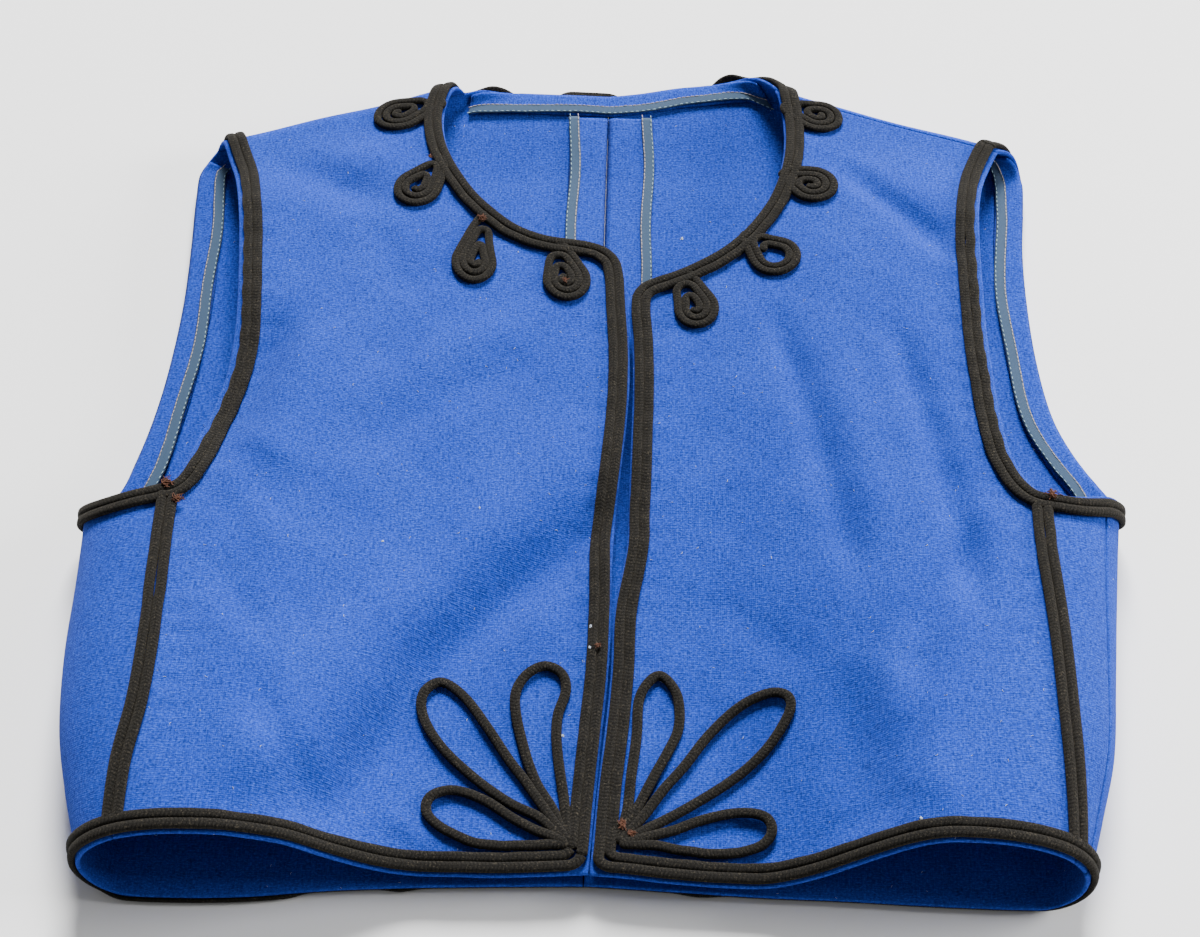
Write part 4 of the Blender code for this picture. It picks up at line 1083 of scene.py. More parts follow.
def calmed(points, rounds, closed):
    """Points drawn towards their neighbours, to take small kinks out of a line."""
    points = points.copy()
    for _ in range(rounds):
        if closed:
            points = (np.roll(points, 1, 0) + 2 * points + np.roll(points, -1, 0)) / 4
        else:
            points[1:-1] = (points[:-2] + 2 * points[1:-1] + points[2:]) / 4
    return points


def guide_mesh(name, points, normals, closed):
    """Line of points with the cloth's normal at each, for the node trees to follow."""
    spacing = np.linalg.norm(np.diff(points, axis=0), axis=1)
    keep = np.concatenate(([True], spacing > GUIDE_RUN * 0.2))
    points, normals = (calmed(part[keep], GUIDE_CALM, closed) for part in (points, normals))
    count = len(points)
    links = [(i, i + 1) for i in range(count - 1)]
    if closed:
        links.append((count - 1, 0))
    mesh = bpy.data.meshes.new(name)
    mesh.from_pydata(points.tolist(), links, [])
    facing = mesh.attributes.new("lie", "FLOAT_VECTOR", "POINT")
    facing.data.foreach_set("vector", normals.ravel())
    return mesh


SOCKET_KINDS = {float: "NodeSocketFloat", int: "NodeSocketInt"}
GEOMETRY, MATERIAL, FLOAT = "NodeSocketGeometry", "NodeSocketMaterial", "NodeSocketFloat"


class Tree:
    """Small helper that writes a node tree from top to bottom."""

    def __init__(self, tree):
        self.tree, self.nodes, self.links = tree, tree.nodes, tree.links

    def take(self, values):
        """Named inputs of a tree, each a kind of socket or the number that it starts from."""
        for name, value in values.items():
            kind = SOCKET_KINDS.get(type(value), value)
            item = self.tree.interface.new_socket(name, in_out="INPUT", socket_type=kind)
            if kind is not value:
                item.default_value = value
        return self.nodes.new("NodeGroupInput").outputs

    def give(self, kind, values):
        """Named outputs of a tree, linked from what makes them, and the tree itself."""
        for name in values:
            self.tree.interface.new_socket(name, in_out="OUTPUT", socket_type=kind)
        end = self.nodes.new("NodeGroupOutput")
        for name, value in values.items():
            self.links.new(value, end.inputs[name])
        return self.tree

    def add(self, kind, inputs=(), **settings):
        """New node; its inputs are sockets to link or plain values, by place or by name."""
        node = self.nodes.new(kind)
        for name, value in settings.items():
            setattr(node, name, value)
        pairs = inputs.items() if isinstance(inputs, dict) else enumerate(inputs)
        for key, value in pairs:
            if isinstance(value, bpy.types.NodeSocket):
                self.links.new(value, node.inputs[key])
            elif value is not None:
                node.inputs[key].default_value = value
        return node

    def made(self, kind, inputs=(), **settings):
        """First output of a new node."""
        return self.add(kind, inputs, **settings).outputs[0]

    def math(self, operation, *values):
        """Result of one step of arithmetic."""
        return self.made("ShaderNodeMath", values, operation=operation)

    def vector(self, operation, first, second=None):
        """Result of one step of arithmetic on vectors."""
        return self.made("ShaderNodeVectorMath", (first, second), operation=operation)

    def scaled(self, vector, factor):
        """Vector times a number."""
        return self.made("ShaderNodeVectorMath", {"Vector": vector, "Scale": factor}, operation="SCALE")

    def named(self, name, kind):
        """Attribute of the geometry by its name."""
        return self.made("GeometryNodeInputNamedAttribute", {"Name": name}, data_type=kind)

    def stored(self, geometry, name, kind, value, domain="POINT"):
        """Geometry with one more named attribute."""
        inputs = {"Geometry": geometry, "Name": name, "Value": value}
        return self.made("GeometryNodeStoreNamedAttribute", inputs, data_type=kind, domain=domain)

    def even_curve(self, mesh, length):
        """Curve along a line of edges, with a point at every length of it."""
        line = self.made("GeometryNodeMeshToCurve", (mesh,))
        return self.made("GeometryNodeResampleCurve", {"Curve": line, "Length": length}, mode="LENGTH")

    def finish(self, geometry, material):
        """Real geometry with its material, at the end of a tree."""
        whole = self.made("GeometryNodeRealizeInstances", (geometry,))
        dressed = self.made("GeometryNodeSetMaterial", {"Geometry": whole, "Material": material})
        return self.give(GEOMETRY, {"Geometry": dressed})


def new_tree(name, kind):
    """Empty node group to write."""
    return Tree(bpy.data.node_groups.new(name, kind))


def plait_tree():
    """Plaited cord along a guide: a low rounded cord whose strands make a row of chevrons."""
    tree = new_tree("plaited cord", "GeometryNodeTree")
    given = tree.take({"Geometry": GEOMETRY, "Wide": CORD_WIDE, "High": CORD_HIGH, "Plait run": PLAIT_RUN,
                       "Relief": PLAIT_RELIEF, "Groove": PLAIT_GROOVE, "Section run": CORD_SECTIONS,
                       "End rounding": CORD_END_ROUND, "Material": MATERIAL})
    line = tree.even_curve(given["Geometry"], given["Section run"])
    along = tree.nodes.new("GeometryNodeSplineParameter").outputs
    whole = tree.nodes.new("GeometryNodeSplineLength").outputs["Length"]
    line = tree.stored(line, "centre", "FLOAT_VECTOR", tree.made("GeometryNodeInputPosition"))
    line = tree.stored(line, "ahead", "FLOAT_VECTOR", tree.made("GeometryNodeInputTangent"))
    line = tree.stored(line, "along", "FLOAT", along["Length"])
    line = tree.stored(line, "left", "FLOAT", tree.math("SUBTRACT", whole, along["Length"]))
    ring = {"Resolution": CORD_CORNERS, "Radius": SECTION_RADIUS}
    ring = tree.made("GeometryNodeCurvePrimitiveCircle", ring)
    factor = tree.nodes.new("GeometryNodeSplineParameter").outputs["Factor"]
    ring = tree.stored(ring, "around", "FLOAT", factor)
    tube = tree.made("GeometryNodeCurveToMesh", {"Curve": line, "Profile Curve": ring, "Fill Caps": True})

    run, around = tree.named("along", "FLOAT"), tree.named("around", "FLOAT")
    lie, ahead = tree.named("lie", "FLOAT_VECTOR"), tree.named("ahead", "FLOAT_VECTOR")
    beside = tree.vector("NORMALIZE", tree.vector("CROSS_PRODUCT", lie, ahead))
    lie = tree.vector("NORMALIZE", lie)
    angle = tree.math("MULTIPLY", around, math.tau)
    across, up = tree.math("COSINE", angle), tree.math("SINE", angle)
    chevron = strands(tree, run, given["Plait run"], tree.math("ABSOLUTE", across))
    swell = tree.math("SUBTRACT", tree.math("POWER", chevron, STRAND_FULLNESS), STRAND_MEAN)
    middle = tree.math("SUBTRACT", 1.0, tree.math("ABSOLUTE", across))
    groove = tree.math("MULTIPLY", given["Groove"], tree.math("POWER", middle, GROOVE_SHARPNESS))
    relief = tree.math("MULTIPLY", given["Relief"], swell)
    relief = tree.math("SUBTRACT", relief, groove)
    nearest = tree.math("MINIMUM", run, tree.named("left", "FLOAT"))
    nearest = tree.math("MINIMUM", tree.math("DIVIDE", nearest, given["End rounding"]), 1.0)
    ends = tree.math("SUBTRACT", 1.0, nearest)
    ends = tree.math("SQRT", tree.math("SUBTRACT", CORD_END_BLUNT, tree.math("MULTIPLY", ends, ends)))
    half_wide = tree.math("ADD", tree.math("MULTIPLY", given["Wide"], 0.5), relief)
    half_high = tree.math("ADD", tree.math("MULTIPLY", given["High"], 0.5), relief)
    side_reach = tree.math("MULTIPLY", tree.math("MULTIPLY", half_wide, across), ends)
    foot = tree.math("MAXIMUM", up, CORD_FLAT_FOOT)
    up_reach = tree.math("MULTIPLY", tree.math("MULTIPLY", half_high, foot), ends)
    place = tree.vector("ADD", tree.named("centre", "FLOAT_VECTOR"), tree.scaled(beside, side_reach))
    place = tree.vector("ADD", place, tree.scaled(lie, up_reach))
    tube = tree.made("GeometryNodeSetPosition", {"Geometry": tube, "Position": place})
    spread = tree.made("ShaderNodeCombineXYZ", (run, tree.math("MULTIPLY", across, 0.5)))
    tube = tree.stored(tube, "cut", "FLOAT2", spread, domain="CORNER")
    return tree.finish(tube, given["Material"])


def strands(tree, run, plait_run, aside):
    """Slanting strands of a plait as a wave along its run, by how far aside of its middle."""
    slant = tree.math("MULTIPLY", aside, PLAIT_SLANT)
    turns = tree.math("ADD", tree.math("DIVIDE", run, plait_run), slant)
    return tree.math("ABSOLUTE", tree.math("SINE", tree.math("MULTIPLY", turns, math.pi)))


def stitch_tree():
    """Row of short straight stitches along a guide."""
    tree = new_tree("stitch row", "GeometryNodeTree")
    given = tree.take({"Geometry": GEOMETRY, "Pitch": PALE_STITCH["Pitch"],
                       "Stitch long": PALE_STITCH["Stitch long"], "Thread": STITCH_THREAD,
                       "Stray": STITCH_STRAY, "Seed": STITCH_SEED, "Material": MATERIAL})
    line = tree.even_curve(given["Geometry"], given["Pitch"])
    bead = tree.made("GeometryNodeMeshUVSphere", {"Segments": 6, "Rings": 4, "Radius": 0.5})
    axes = {"Primary Axis": tree.made("GeometryNodeInputTangent"),
            "Secondary Axis": tree.named("lie", "FLOAT_VECTOR")}
    turn = tree.made("FunctionNodeAxesToRotation", axes, primary_axis="X", secondary_axis="Z")
    size = tree.made("ShaderNodeCombineXYZ", (given["Stitch long"], given["Thread"], given["Thread"]))
    spread = {"Min": tree.scaled((-1.0, -1.0, -1.0), given["Stray"]),
              "Max": tree.scaled((1.0, 1.0, 1.0), given["Stray"]), "Seed": given["Seed"]}
    stray = tree.made("FunctionNodeRandomValue", spread, data_type="FLOAT_VECTOR")
    line = tree.made("GeometryNodeSetPosition", {"Geometry": line, "Offset": stray})
    row = tree.made("GeometryNodeInstanceOnPoints", {"Points": line, "Instance": bead, "Rotation": turn,
                                                     "Scale": size})
    return tree.finish(row, given["Material"])


def by_chance(tree, low, high):
    """Random number for each instance."""
    number = tree.add("FunctionNodeRandomValue", data_type="FLOAT")
    number.inputs[2].default_value = low
    number.inputs[3].default_value = high
    return number.outputs[1]


def lint_tree():
    """Tiny curled fibres scattered over a surface, thinly and by chance."""
    tree = new_tree("caught lint", "GeometryNodeTree")
    given = tree.take({"Geometry": GEOMETRY, "Density": LINT_SCATTER, "Fibre long": LINT_LONG,
                       "Fibre thick": LINT_THICK, "Seed": LINT_SEED, "Material": MATERIAL})
    scatter = {"Mesh": given["Geometry"], "Density": given["Density"], "Seed": given["Seed"]}
    spots = tree.add("GeometryNodeDistributePointsOnFaces", scatter).outputs
    bend = tree.made("GeometryNodeCurveQuadraticBezier", LINT_BEND)
    long = tree.made("ShaderNodeCombineXYZ", (given["Fibre long"],) * 3)
    fibre = tree.made("GeometryNodeTransform", {"Geometry": bend, "Scale": long})
    ring = tree.made("GeometryNodeCurvePrimitiveCircle", {"Resolution": 4, "Radius": given["Fibre thick"]})
    fibre = tree.made("GeometryNodeCurveToMesh", {"Curve": fibre, "Profile Curve": ring, "Fill Caps": True})
    spin = tree.made("ShaderNodeCombineXYZ", (0.0, 0.0, by_chance(tree, 0.0, math.tau)))
    spin = tree.made("FunctionNodeEulerToRotation", (spin,))
    turn = tree.made("FunctionNodeRotateRotation", (spots["Rotation"], spin), rotation_space="LOCAL")
    strewn = {"Points": spots["Points"], "Instance": fibre, "Rotation": turn,
              "Scale": by_chance(tree, LINT_SHORTEST, 1.0)}
    return tree.finish(tree.made("GeometryNodeInstanceOnPoints", strewn), given["Material"])


def grown(name, mesh, tree, values):
    """Plain mesh piece that a node tree makes from a guide."""
    source = placed(name + "_guide", mesh)
    modifier = source.modifiers.new("grow", "NODES")
    modifier.node_group = tree
    for item in tree.interface.items_tree:
        if item.item_type == "SOCKET" and item.in_out == "INPUT" and item.name in values:
            modifier[item.identifier] = values[item.name]
    result = made_plain(source, name)
    bpy.data.meshes.remove(mesh)
    for spare in ("centre", "ahead", "along", "left", "around", "lie"):
        if spare in result.attributes:
            result.attributes.remove(result.attributes[spare])
    return smooth_piece(name, result)


def cord(name, runs, wide, high, lift=0.0, closed=False):
    """Plaited cord along runs of (guide, distance beside it, whether it goes backwards)."""
    parts = []
    for guide, sideways, backwards in runs:
        points, normals = guide.beside(sideways, CORD_CLEAR + high * CORD_MIDDLE_SHARE + lift)
        parts.append((points[::-1], normals[::-1]) if backwards else (points, normals))
    points, normals = (np.concatenate(part) for part in zip(*parts))
    mesh = guide_mesh(name + "_line", points, normals, closed)
    values = {"Wide": wide, "High": high, "Material": CORD}
    if closed:
        values["End rounding"] = NO_END_ROUND
    return grown(name, mesh, PLAIT, values)


def strayed(guide, sideways, waver):
    """Distances beside a guide that wander a little, as tape sewn on by hand does."""
    run = np.arange(guide.count()) * GUIDE_RUN
    return sideways + waver * (np.sin(run * 95.0) + 0.6 * np.sin(run * 41.0 + 1.0))


def stitches(name, guide, sideways, out, sewn, material):
    """Row of stitches beside a guide."""
    points, normals = guide.beside(sideways, out)
    mesh = guide_mesh(name + "_line", points, normals, guide.closed)
    return grown(name, mesh, STITCH, {**sewn, "Thread": STITCH_THREAD, "Material": material})


def ribbon(name, guide, near, far, outer, thick, material, waver=0.0):
    """Flat strip beside a guide, rounded at both edges."""
    stray = strayed(guide, 0.0, waver)
    rings = []
    for share in np.linspace(0, 1, RIBBON_COLUMNS):
        edge = min(share, 1 - share) * abs(far - near)
        dip = thick / 2 * (1 - math.sqrt(max(0.0, 1 - max(0.0, 1 - edge / (thick / 2)) ** 2)))
        rings.append((near + (far - near) * share, outer - dip, outer - thick + dip))
    tops = [guide.beside(across + stray, high)[0] for across, high, _ in rings]
    feet = [guide.beside(across + stray, low)[0] for across, _, low in rings]
    section = tops + feet[-2:0:-1]
    across = [ring[0] for ring in rings] + [ring[0] for ring in rings[-2:0:-1]]
    points = np.stack(section, axis=1)[::2]
    rows, corners = points.shape[:2]
    faces = []
    for j in range(0, (rows - 1) * corners, corners):
        for i in range(corners):
            k = (i + 1) % corners
            faces.append((j + i, j + k, j + corners + k, j + corners + i))
    faces.append(tuple(range(corners))[::-1])
    faces.append(tuple((rows - 1) * corners + i for i in range(corners)))
    uv = [(across[i], j * 2 * GUIDE_RUN) for j in range(rows) for i in range(corners)]
    return new_piece(name, mesh_from(name, points.reshape(-1, 3).tolist(), faces, uv), material)


def noise(tree, place, scale, detail=2.0, roughness=0.5, stretch=None):
    """Noise over a place, stretched or not."""
    if stretch:
        place = tree.vector("MULTIPLY", place, stretch)
    return tree.made("ShaderNodeTexNoise", {"Vector": place, "Scale": scale, "Detail": detail,
                                            "Roughness": roughness})


def weave_group():
    """Plain weave under a felted nap: heights of threads, nap and slubs, and a slow mottle."""
    tree = new_tree("felted weave", "ShaderNodeTree")
    given = tree.take(WOOL_WEAVE)
    place = tree.made("ShaderNodeUVMap", uv_map="cut")
    wander = noise(tree, place, THREAD_WANDER).node.outputs["Color"]
    wander = tree.scaled(tree.vector("SUBTRACT", wander, (0.5, 0.5, 0.5)), given["Waver"])
    wavering = tree.add("ShaderNodeSeparateXYZ", (tree.vector("ADD", place, wander),)).outputs
    counts = [tree.math("DIVIDE", wavering[i], given["Spacing"]) for i in (0, 1)]
    warp, weft = (tree.math("SINE", tree.math("MULTIPLY", count, math.tau)) for count in counts)
    slubs = tree.math("ADD", noise(tree, place, *LONG_SLUBS), noise(tree, place, *CROSS_SLUBS))
    return tree.give(FLOAT, {
        "Threads": tree.math("MULTIPLY_ADD", tree.math("ADD", warp, weft), 0.25, 0.5),
        "Nap": noise(tree, place, *NAP),
        "Slubs": tree.math("MULTIPLY", slubs, 0.5),
        "Mottle": noise(tree, place, *MOTTLE),
    })


def plait_group():
    """Strand pattern of a plaited cord, the line of its middle groove, which is given painted shade, and its
    fibres.
    """
    tree = new_tree("plait strands", "ShaderNodeTree")
    given = tree.take({"Run": PLAIT_RUN})
    place = tree.made("ShaderNodeUVMap", uv_map="cut")
    parts = tree.add("ShaderNodeSeparateXYZ", (place,)).outputs
    across = tree.math("MULTIPLY", tree.math("ABSOLUTE", parts[1]), 2.0)
    body = tree.add("ShaderNodeTexCoord").outputs["Object"]
    return tree.give(FLOAT, {
        "Strands": strands(tree, parts[0], given["Run"], across),
        # Band along the middle groove, where shade is painted
        "Middle": tree.math("POWER", tree.math("SUBTRACT", 1.0, across), GROOVE_SHADE_SHARPNESS),
        "Fibres": noise(tree, place, *FIBRES),
        "Flecks": noise(tree, body, *FLECKS),
    })


class Finish:
    """Material being written around its Principled BSDF."""

    def __init__(self, name, roughness, specular, sheen, sheen_roughness=0.5, sheen_tint=(1.0, 1.0, 1.0)):
        self.material = bpy.data.materials.new(name)
        self.material.use_nodes = True
        self.tree = Tree(self.material.node_tree)
        self.inputs = self.tree.nodes["Principled BSDF"].inputs
        self.inputs["Roughness"].default_value = roughness
        self.inputs["Specular IOR Level"].default_value = specular
        self.inputs["Sheen Weight"].default_value = sheen
        self.inputs["Sheen Roughness"].default_value = sheen_roughness
        self.inputs["Sheen Tint"].default_value = (*sheen_tint, 1.0)

    def group(self, tree, values=()):
        """Outputs of a shared group placed in this material with its own values."""
        return self.tree.add("ShaderNodeGroup", dict(values), node_tree=tree).outputs

    def mix(self, factor, first, second, blend="MIX"):
        """Second colour laid over the first by a factor."""
        node = self.tree.add("ShaderNodeMix", data_type="RGBA", blend_type=blend)
        sockets = [socket for socket in node.inputs if socket.enabled]
        for socket, value in zip(sockets, (factor, first, second)):
            if isinstance(value, bpy.types.NodeSocket):
                self.tree.links.new(value, socket)
            else:
                socket.default_value = (*value, 1.0) if isinstance(value, tuple) else value
        return next(socket for socket in node.outputs if socket.enabled)

    def ramp(self, value, low, high):
        """0 to 1 as a value goes from low to high."""
        return self.tree.made("ShaderNodeMapRange", {"Value": value, "From Min": low, "From Max": high})

    def layered(self, masks, tone, layers):
        """Colour built up from a base tone, each layer where its mask is strong."""
        for mask, low, high, colour in layers:
            tone = self.mix(self.ramp(masks[mask], low, high), tone, colour)
        return tone

    def colour(self, socket):
        """Base colour of the material."""
        self.tree.links.new(socket, self.inputs["Base Color"])

    def bump(self, height, distance):
        """One more relief on top of those already laid on."""
        before = self.inputs["Normal"].links
        node = self.tree.add("ShaderNodeBump", {"Height": height, "Distance": distance})
        if before:
            self.tree.links.new(before[0].from_socket, node.inputs["Normal"])
        self.tree.links.new(node.outputs[0], self.inputs["Normal"])

    def relief(self, masks, depths):
        """Several reliefs by the names of their masks."""
        for mask, depth in depths.items():
            self.bump(masks[mask], depth)


def wool_cloth():
    """Blue wool, felted over a plain weave."""
    finish = Finish("blue_felted_wool", *WOOL_SHINE)
    weave = finish.group(WEAVE)
    tone = finish.layered(weave, WOOL_DEEP, WOOL_LAYERS)
    worn = finish.mix(finish.ramp(weave["Mottle"], *WORN_SPAN), WORN_DARK, WORN_PALE)
    finish.colour(finish.mix(1.0, tone, worn, "MULTIPLY"))
    finish.relief(weave, WOOL_RELIEF)
    return finish.material


def plaited_wool():
    """Charcoal plait, pale on the strand crests as a painted highlight and dark between them and along its
    middle as painted shade, with pale flecks.
    """
    finish = Finish("charcoal_plait", *CORD_SHINE)
    plait = finish.group(PLAIT_STRANDS)
    finish.colour(finish.layered(plait, CORD_DARK_AND_SHADE, CORD_LAYERS))
    finish.relief(plait, CORD_RELIEF)
    return finish.material


def woven_tape():
    """Blue-grey binding tape in a fine weave."""
    finish = Finish("blue_grey_tape", *TAPE_SHINE)
    weave = finish.group(WEAVE, TAPE_WEAVE)
    finish.colour(finish.layered(weave, TAPE_BLUE, TAPE_LAYERS))
    finish.relief(weave, TAPE_RELIEF)
    return finish.material


def thread(name, colour):
    """Twisted sewing thread of one colour."""
    finish = Finish(name, *THREAD_SHINE)
    twist = noise(finish.tree, finish.tree.add("ShaderNodeTexCoord").outputs["Object"], TWIST)
    dark = tuple(c * THREAD_SHADE for c in colour)
    finish.colour(finish.mix(finish.ramp(twist, *TWIST_SPAN), dark, colour))
    finish.bump(twist, THREAD_RELIEF)
    return finish.material


def floor_paper():
    """Nearly even pale paper."""
    finish = Finish("pale_floor", *FLOOR_SHINE)
    grain = noise(finish.tree, finish.tree.add("ShaderNodeTexCoord").outputs["Object"], PAPER)
    finish.colour(finish.mix(grain, tuple(c * FLOOR_SHADE for c in FLOOR), FLOOR))
    return finish.material


def from_the_middle(side, parts):
    """Stretches of one side, turned round on the left so that both sides make one run."""
    if side == RIGHT:
        return parts
    return [(layer, at, line, end, begin) for layer, at, line, begin, end in reversed(parts)]


def neck_front_stretches(clear):
    """Guide of the trim up one slit edge, round the neck and down the other, clear of the hem."""
    stretches = []
    for side in (RIGHT, LEFT):
        corner = NECK_FRONT[side][0]
        edge = front_edge_line(side, corner[1])
        hem = edge(0)[1]
        start = clear / (corner[1] - hem)
        stretches += from_the_middle(side, [(OVER, side, edge, start, SLIT_TRIM_END),
                                            (OVER, side, neck_front_line(side), NECK_TRIM_START, 1.0),
                                            (UNDER, side, neck_back_line(side), 1.0, 0.0)])
    return stretches


def hem_stretches(clear):
    """Guide of the trim along the hem, clear of the slit edges, from the right one round the back."""
    stretches = []
    for side in (RIGHT, LEFT):
        inner_u = side * float(FRONT_EDGE_AT[side](HEM_LEVEL)) + clear
        front = hem_line(FRONT_HEM[side], inner_u, back_seam_place(side, OVER, HEM_LEVEL))
        back = hem_line(BACK_HEM[side], side * CENTRE_SEAM_X, back_seam_place(side, UNDER, HEM_LEVEL))
        stretches += from_the_middle(side, [(OVER, side, front, 0.0, 1.0), (UNDER, side, back, 1.0, 0.0)])
    return stretches


def corner_line(side, inset, radius):
    """Cord rounding the corner between slit and hem, from the slit to the hem."""
    edge = side * float(FRONT_EDGE_AT[side](HEM_LEVEL))
    hem = float(FRONT_HEM[side](edge))
    middle_u, middle_v = edge + inset + radius, hem + inset + radius

    def line(t):
        angle = math.pi * (1 + t / 2)
        return middle_u + radius * math.cos(angle), middle_v + radius * math.sin(angle)
    return line


def armhole_stretches(side):
    """Guide of the trim round an armhole: front, armpit, back."""
    return [(OVER, side, armhole_front_line(side), 1.0, 0.0),
            (OVER, side, side_top_line(side), 0.0, 1.0),
            (UNDER, side, armhole_back_line(side), 0.0, 1.0)]


def side_band_stretches(side):
    """Guide of the trim up a side seam, between the hem's and the armhole's cords."""
    seam = side_seam_line(side, SIDE_SEAM_TOP[side], 0.0)
    low, high = seam(0)[1], seam(1)[1]
    tucked = EDGE_SHOWS + CORD_WIDE
    return [(OVER, side, seam, tucked / (high - low), 1 - (tucked + SIDE_TRIM_CLEAR) / (high - low))]


def drop_reach(angle, wide, far, join, flare):
    """Distance from the middle of a drop shape to its outline, by the angle from its throat."""
    apex = join * (1 + flare)
    touch = math.acos(min(wide / apex, 1.0))
    angle = abs((angle + math.pi) % math.tau - math.pi)
    if angle < touch:
        return min(wide / math.cos(touch - angle), join / max(math.cos(angle), 0.05))
    if angle < math.pi / 2:
        return wide
    return wide * far / math.hypot(far * math.sin(angle), wide * math.cos(angle))


def swirl_line(swirl):
    """Cord led from the band round a drop shape and then inwards, turn inside turn."""
    _, u, v, half_wide, far_end, hole, join_u, join_v, flare, way = swirl
    wide, far = half_wide - SWIRL_WIDE / 2, far_end - SWIRL_WIDE / 2
    join = math.hypot(join_u, join_v)
    turns = (wide - hole) / SWIRL_PITCH + 0.5
    ahead = np.array((join_u, join_v)) / join
    aside = np.array((-ahead[1], ahead[0])) * way
    coil = []
    for turned in np.linspace(0.0, turns, int(SWIRL_STEPS * turns)):
        angle = math.tau * turned
        reach = drop_reach(angle, wide, far, join, flare) * (1 + SWIRL_PITCH * (0.5 - turned) / wide)
        place = reach * (math.cos(angle) * ahead + math.sin(angle) * aside)
        coil.append((u + place[0], v + place[1]))
    return smooth_line(coil)


def petal_line(side, points):
    """Petal loop whose ends run on towards the corner of slit and hem."""
    gather = np.array((GATHER_U[side], GATHER_V))
    first, last = np.array(points[0]), np.array(points[-1])
    start = [tuple(first + (gather - first) * share) for share in reversed(GATHER_SHARES)]
    finish = [tuple(last + (gather - last) * share) for share in GATHER_SHARES]
    return smooth_line(tuple(start) + points + tuple(finish))


def dress(piece, slot, *nodes):
    """Piece riding on the body, hiding the solids that it replaces; the slot is not used."""
    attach(piece, "root")
    if nodes:
        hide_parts(*nodes)
    return piece


def build_panels():
    """The six panels, each replacing its solid."""
    makers = (("back", UNDER, back_edges), ("side", OVER, side_edges), ("front", OVER, front_edges))
    panels = {}
    for word, layer, edges in makers:
        for side in (RIGHT, LEFT):
            name = f"{word}_{SIDE_NAMES[side]}"
            piece = cloth_panel(f"cloth_{name}", layer, side, edges(side), PANEL_CELLS[word], CLOTH)
            panels[name] = dress(piece, "blue_wool", name)
    return panels


def bound_edge(name, guide, near, far, tape_face):
    """Tape over a raw edge, with close cream stitches along one side and open pale ones along the other."""
    toward = 1 if far > near else -1
    proud = tape_face - BINDING_THICK - STITCH_PROUD
    tape = ribbon(f"{name}_tape", guide, near, far, tape_face, BINDING_THICK, TAPE, TAPE_WAVER)
    rows = (("cream", near + toward * STITCH_INSET, CREAM_STITCH, CREAM_THREAD),
            ("pale", far - toward * STITCH_INSET, PALE_STITCH, PALE_THREAD))
    sewn = [stitches(f"{name}_{word}_stitches", guide, strayed(guide, at, TAPE_WAVER), proud, row, yarn)
            for word, at, row, yarn in rows]
    return [dress(tape, "binding_tape", name)] + [dress(row, "binding_tape") for row in sewn]


def build_inside():
    """Opened seam allowances, turned edges, the tapes that bind them and their stitching."""
    face = -CLOTH_THICK - INSIDE_CLEAR
    tape_face = face - ALLOWANCE_THICK - SEAM_GAP
    made = {}
    for side, wide in ALLOWANCE_WIDE.items():
        word = SIDE_NAMES[side]
        low = float(BACK_HEM[side](0.0)) + ALLOWANCE_ABOVE_HEM
        high = NECK_BACK[side][0][1] - TURNING_WIDE - 2 * SEAM_GAP

        def seam(t, at=side * CENTRE_SEAM_X, low=low, high=high):
            return at, low + (high - low) * t
        guide = Guide([(UNDER, side, seam, 0.0, 1.0)])
        strip = ribbon(f"centre_allowance_{word}_cloth", guide, side * SEAM_GAP / 2, side * wide, face,
                       ALLOWANCE_THICK, CLOTH)
        made[f"back_{word}"] = [dress(strip, "blue_wool", f"centre_allowance_{word}")]
        made[f"back_{word}"] += bound_edge(f"centre_binding_{word}", guide, side * (wide - BINDING_WIDE),
                                           side * wide, tape_face)
    trims = [("neck", [(UNDER, RIGHT, neck_back_line(RIGHT), NECK_TURNED[RIGHT], 0.0),
                       (UNDER, LEFT, neck_back_line(LEFT), 0.0, NECK_TURNED[LEFT])], 1, "back_right")]
    for side in (RIGHT, LEFT):
        arm = [(UNDER, side, armhole_back_line(side), *ARMHOLE_TURNED[side])]
        trims.append((f"armhole_{SIDE_NAMES[side]}", arm, -side, f"back_{SIDE_NAMES[side]}"))
    for name, stretches, facing, panel in trims:
        guide = Guide(stretches)
        turned = ribbon(f"{name}_turning_cloth", guide, facing * SEAM_GAP, facing * TURNING_WIDE, face,
                        ALLOWANCE_THICK, CLOTH)
        made[panel].append(dress(turned, "blue_wool", f"{name}_turning"))
        made[panel] += bound_edge(f"{name}_binding", guide, facing * BINDING_FROM_EDGE, facing * TURNING_WIDE,
                                  tape_face)
    return made


def past_the_edge(guide, inset):
    """Distance of a cord from the guide, which shrinks where the band peeps out behind the back."""
    parts = []
    for layer, side, places in guide.parts:
        x = side * places[:, 0]
        out = np.zeros(len(x))
        for edge, low, high, far in PEEPS:
            here = layer == UNDER and (edge == "neck") == (places[0, 1] > 0)
            out += here * far * ease((x - low) / PEEP_FADE) * ease((high - x) / PEEP_FADE)
        parts.append(inset - out)
    return np.concatenate(parts)


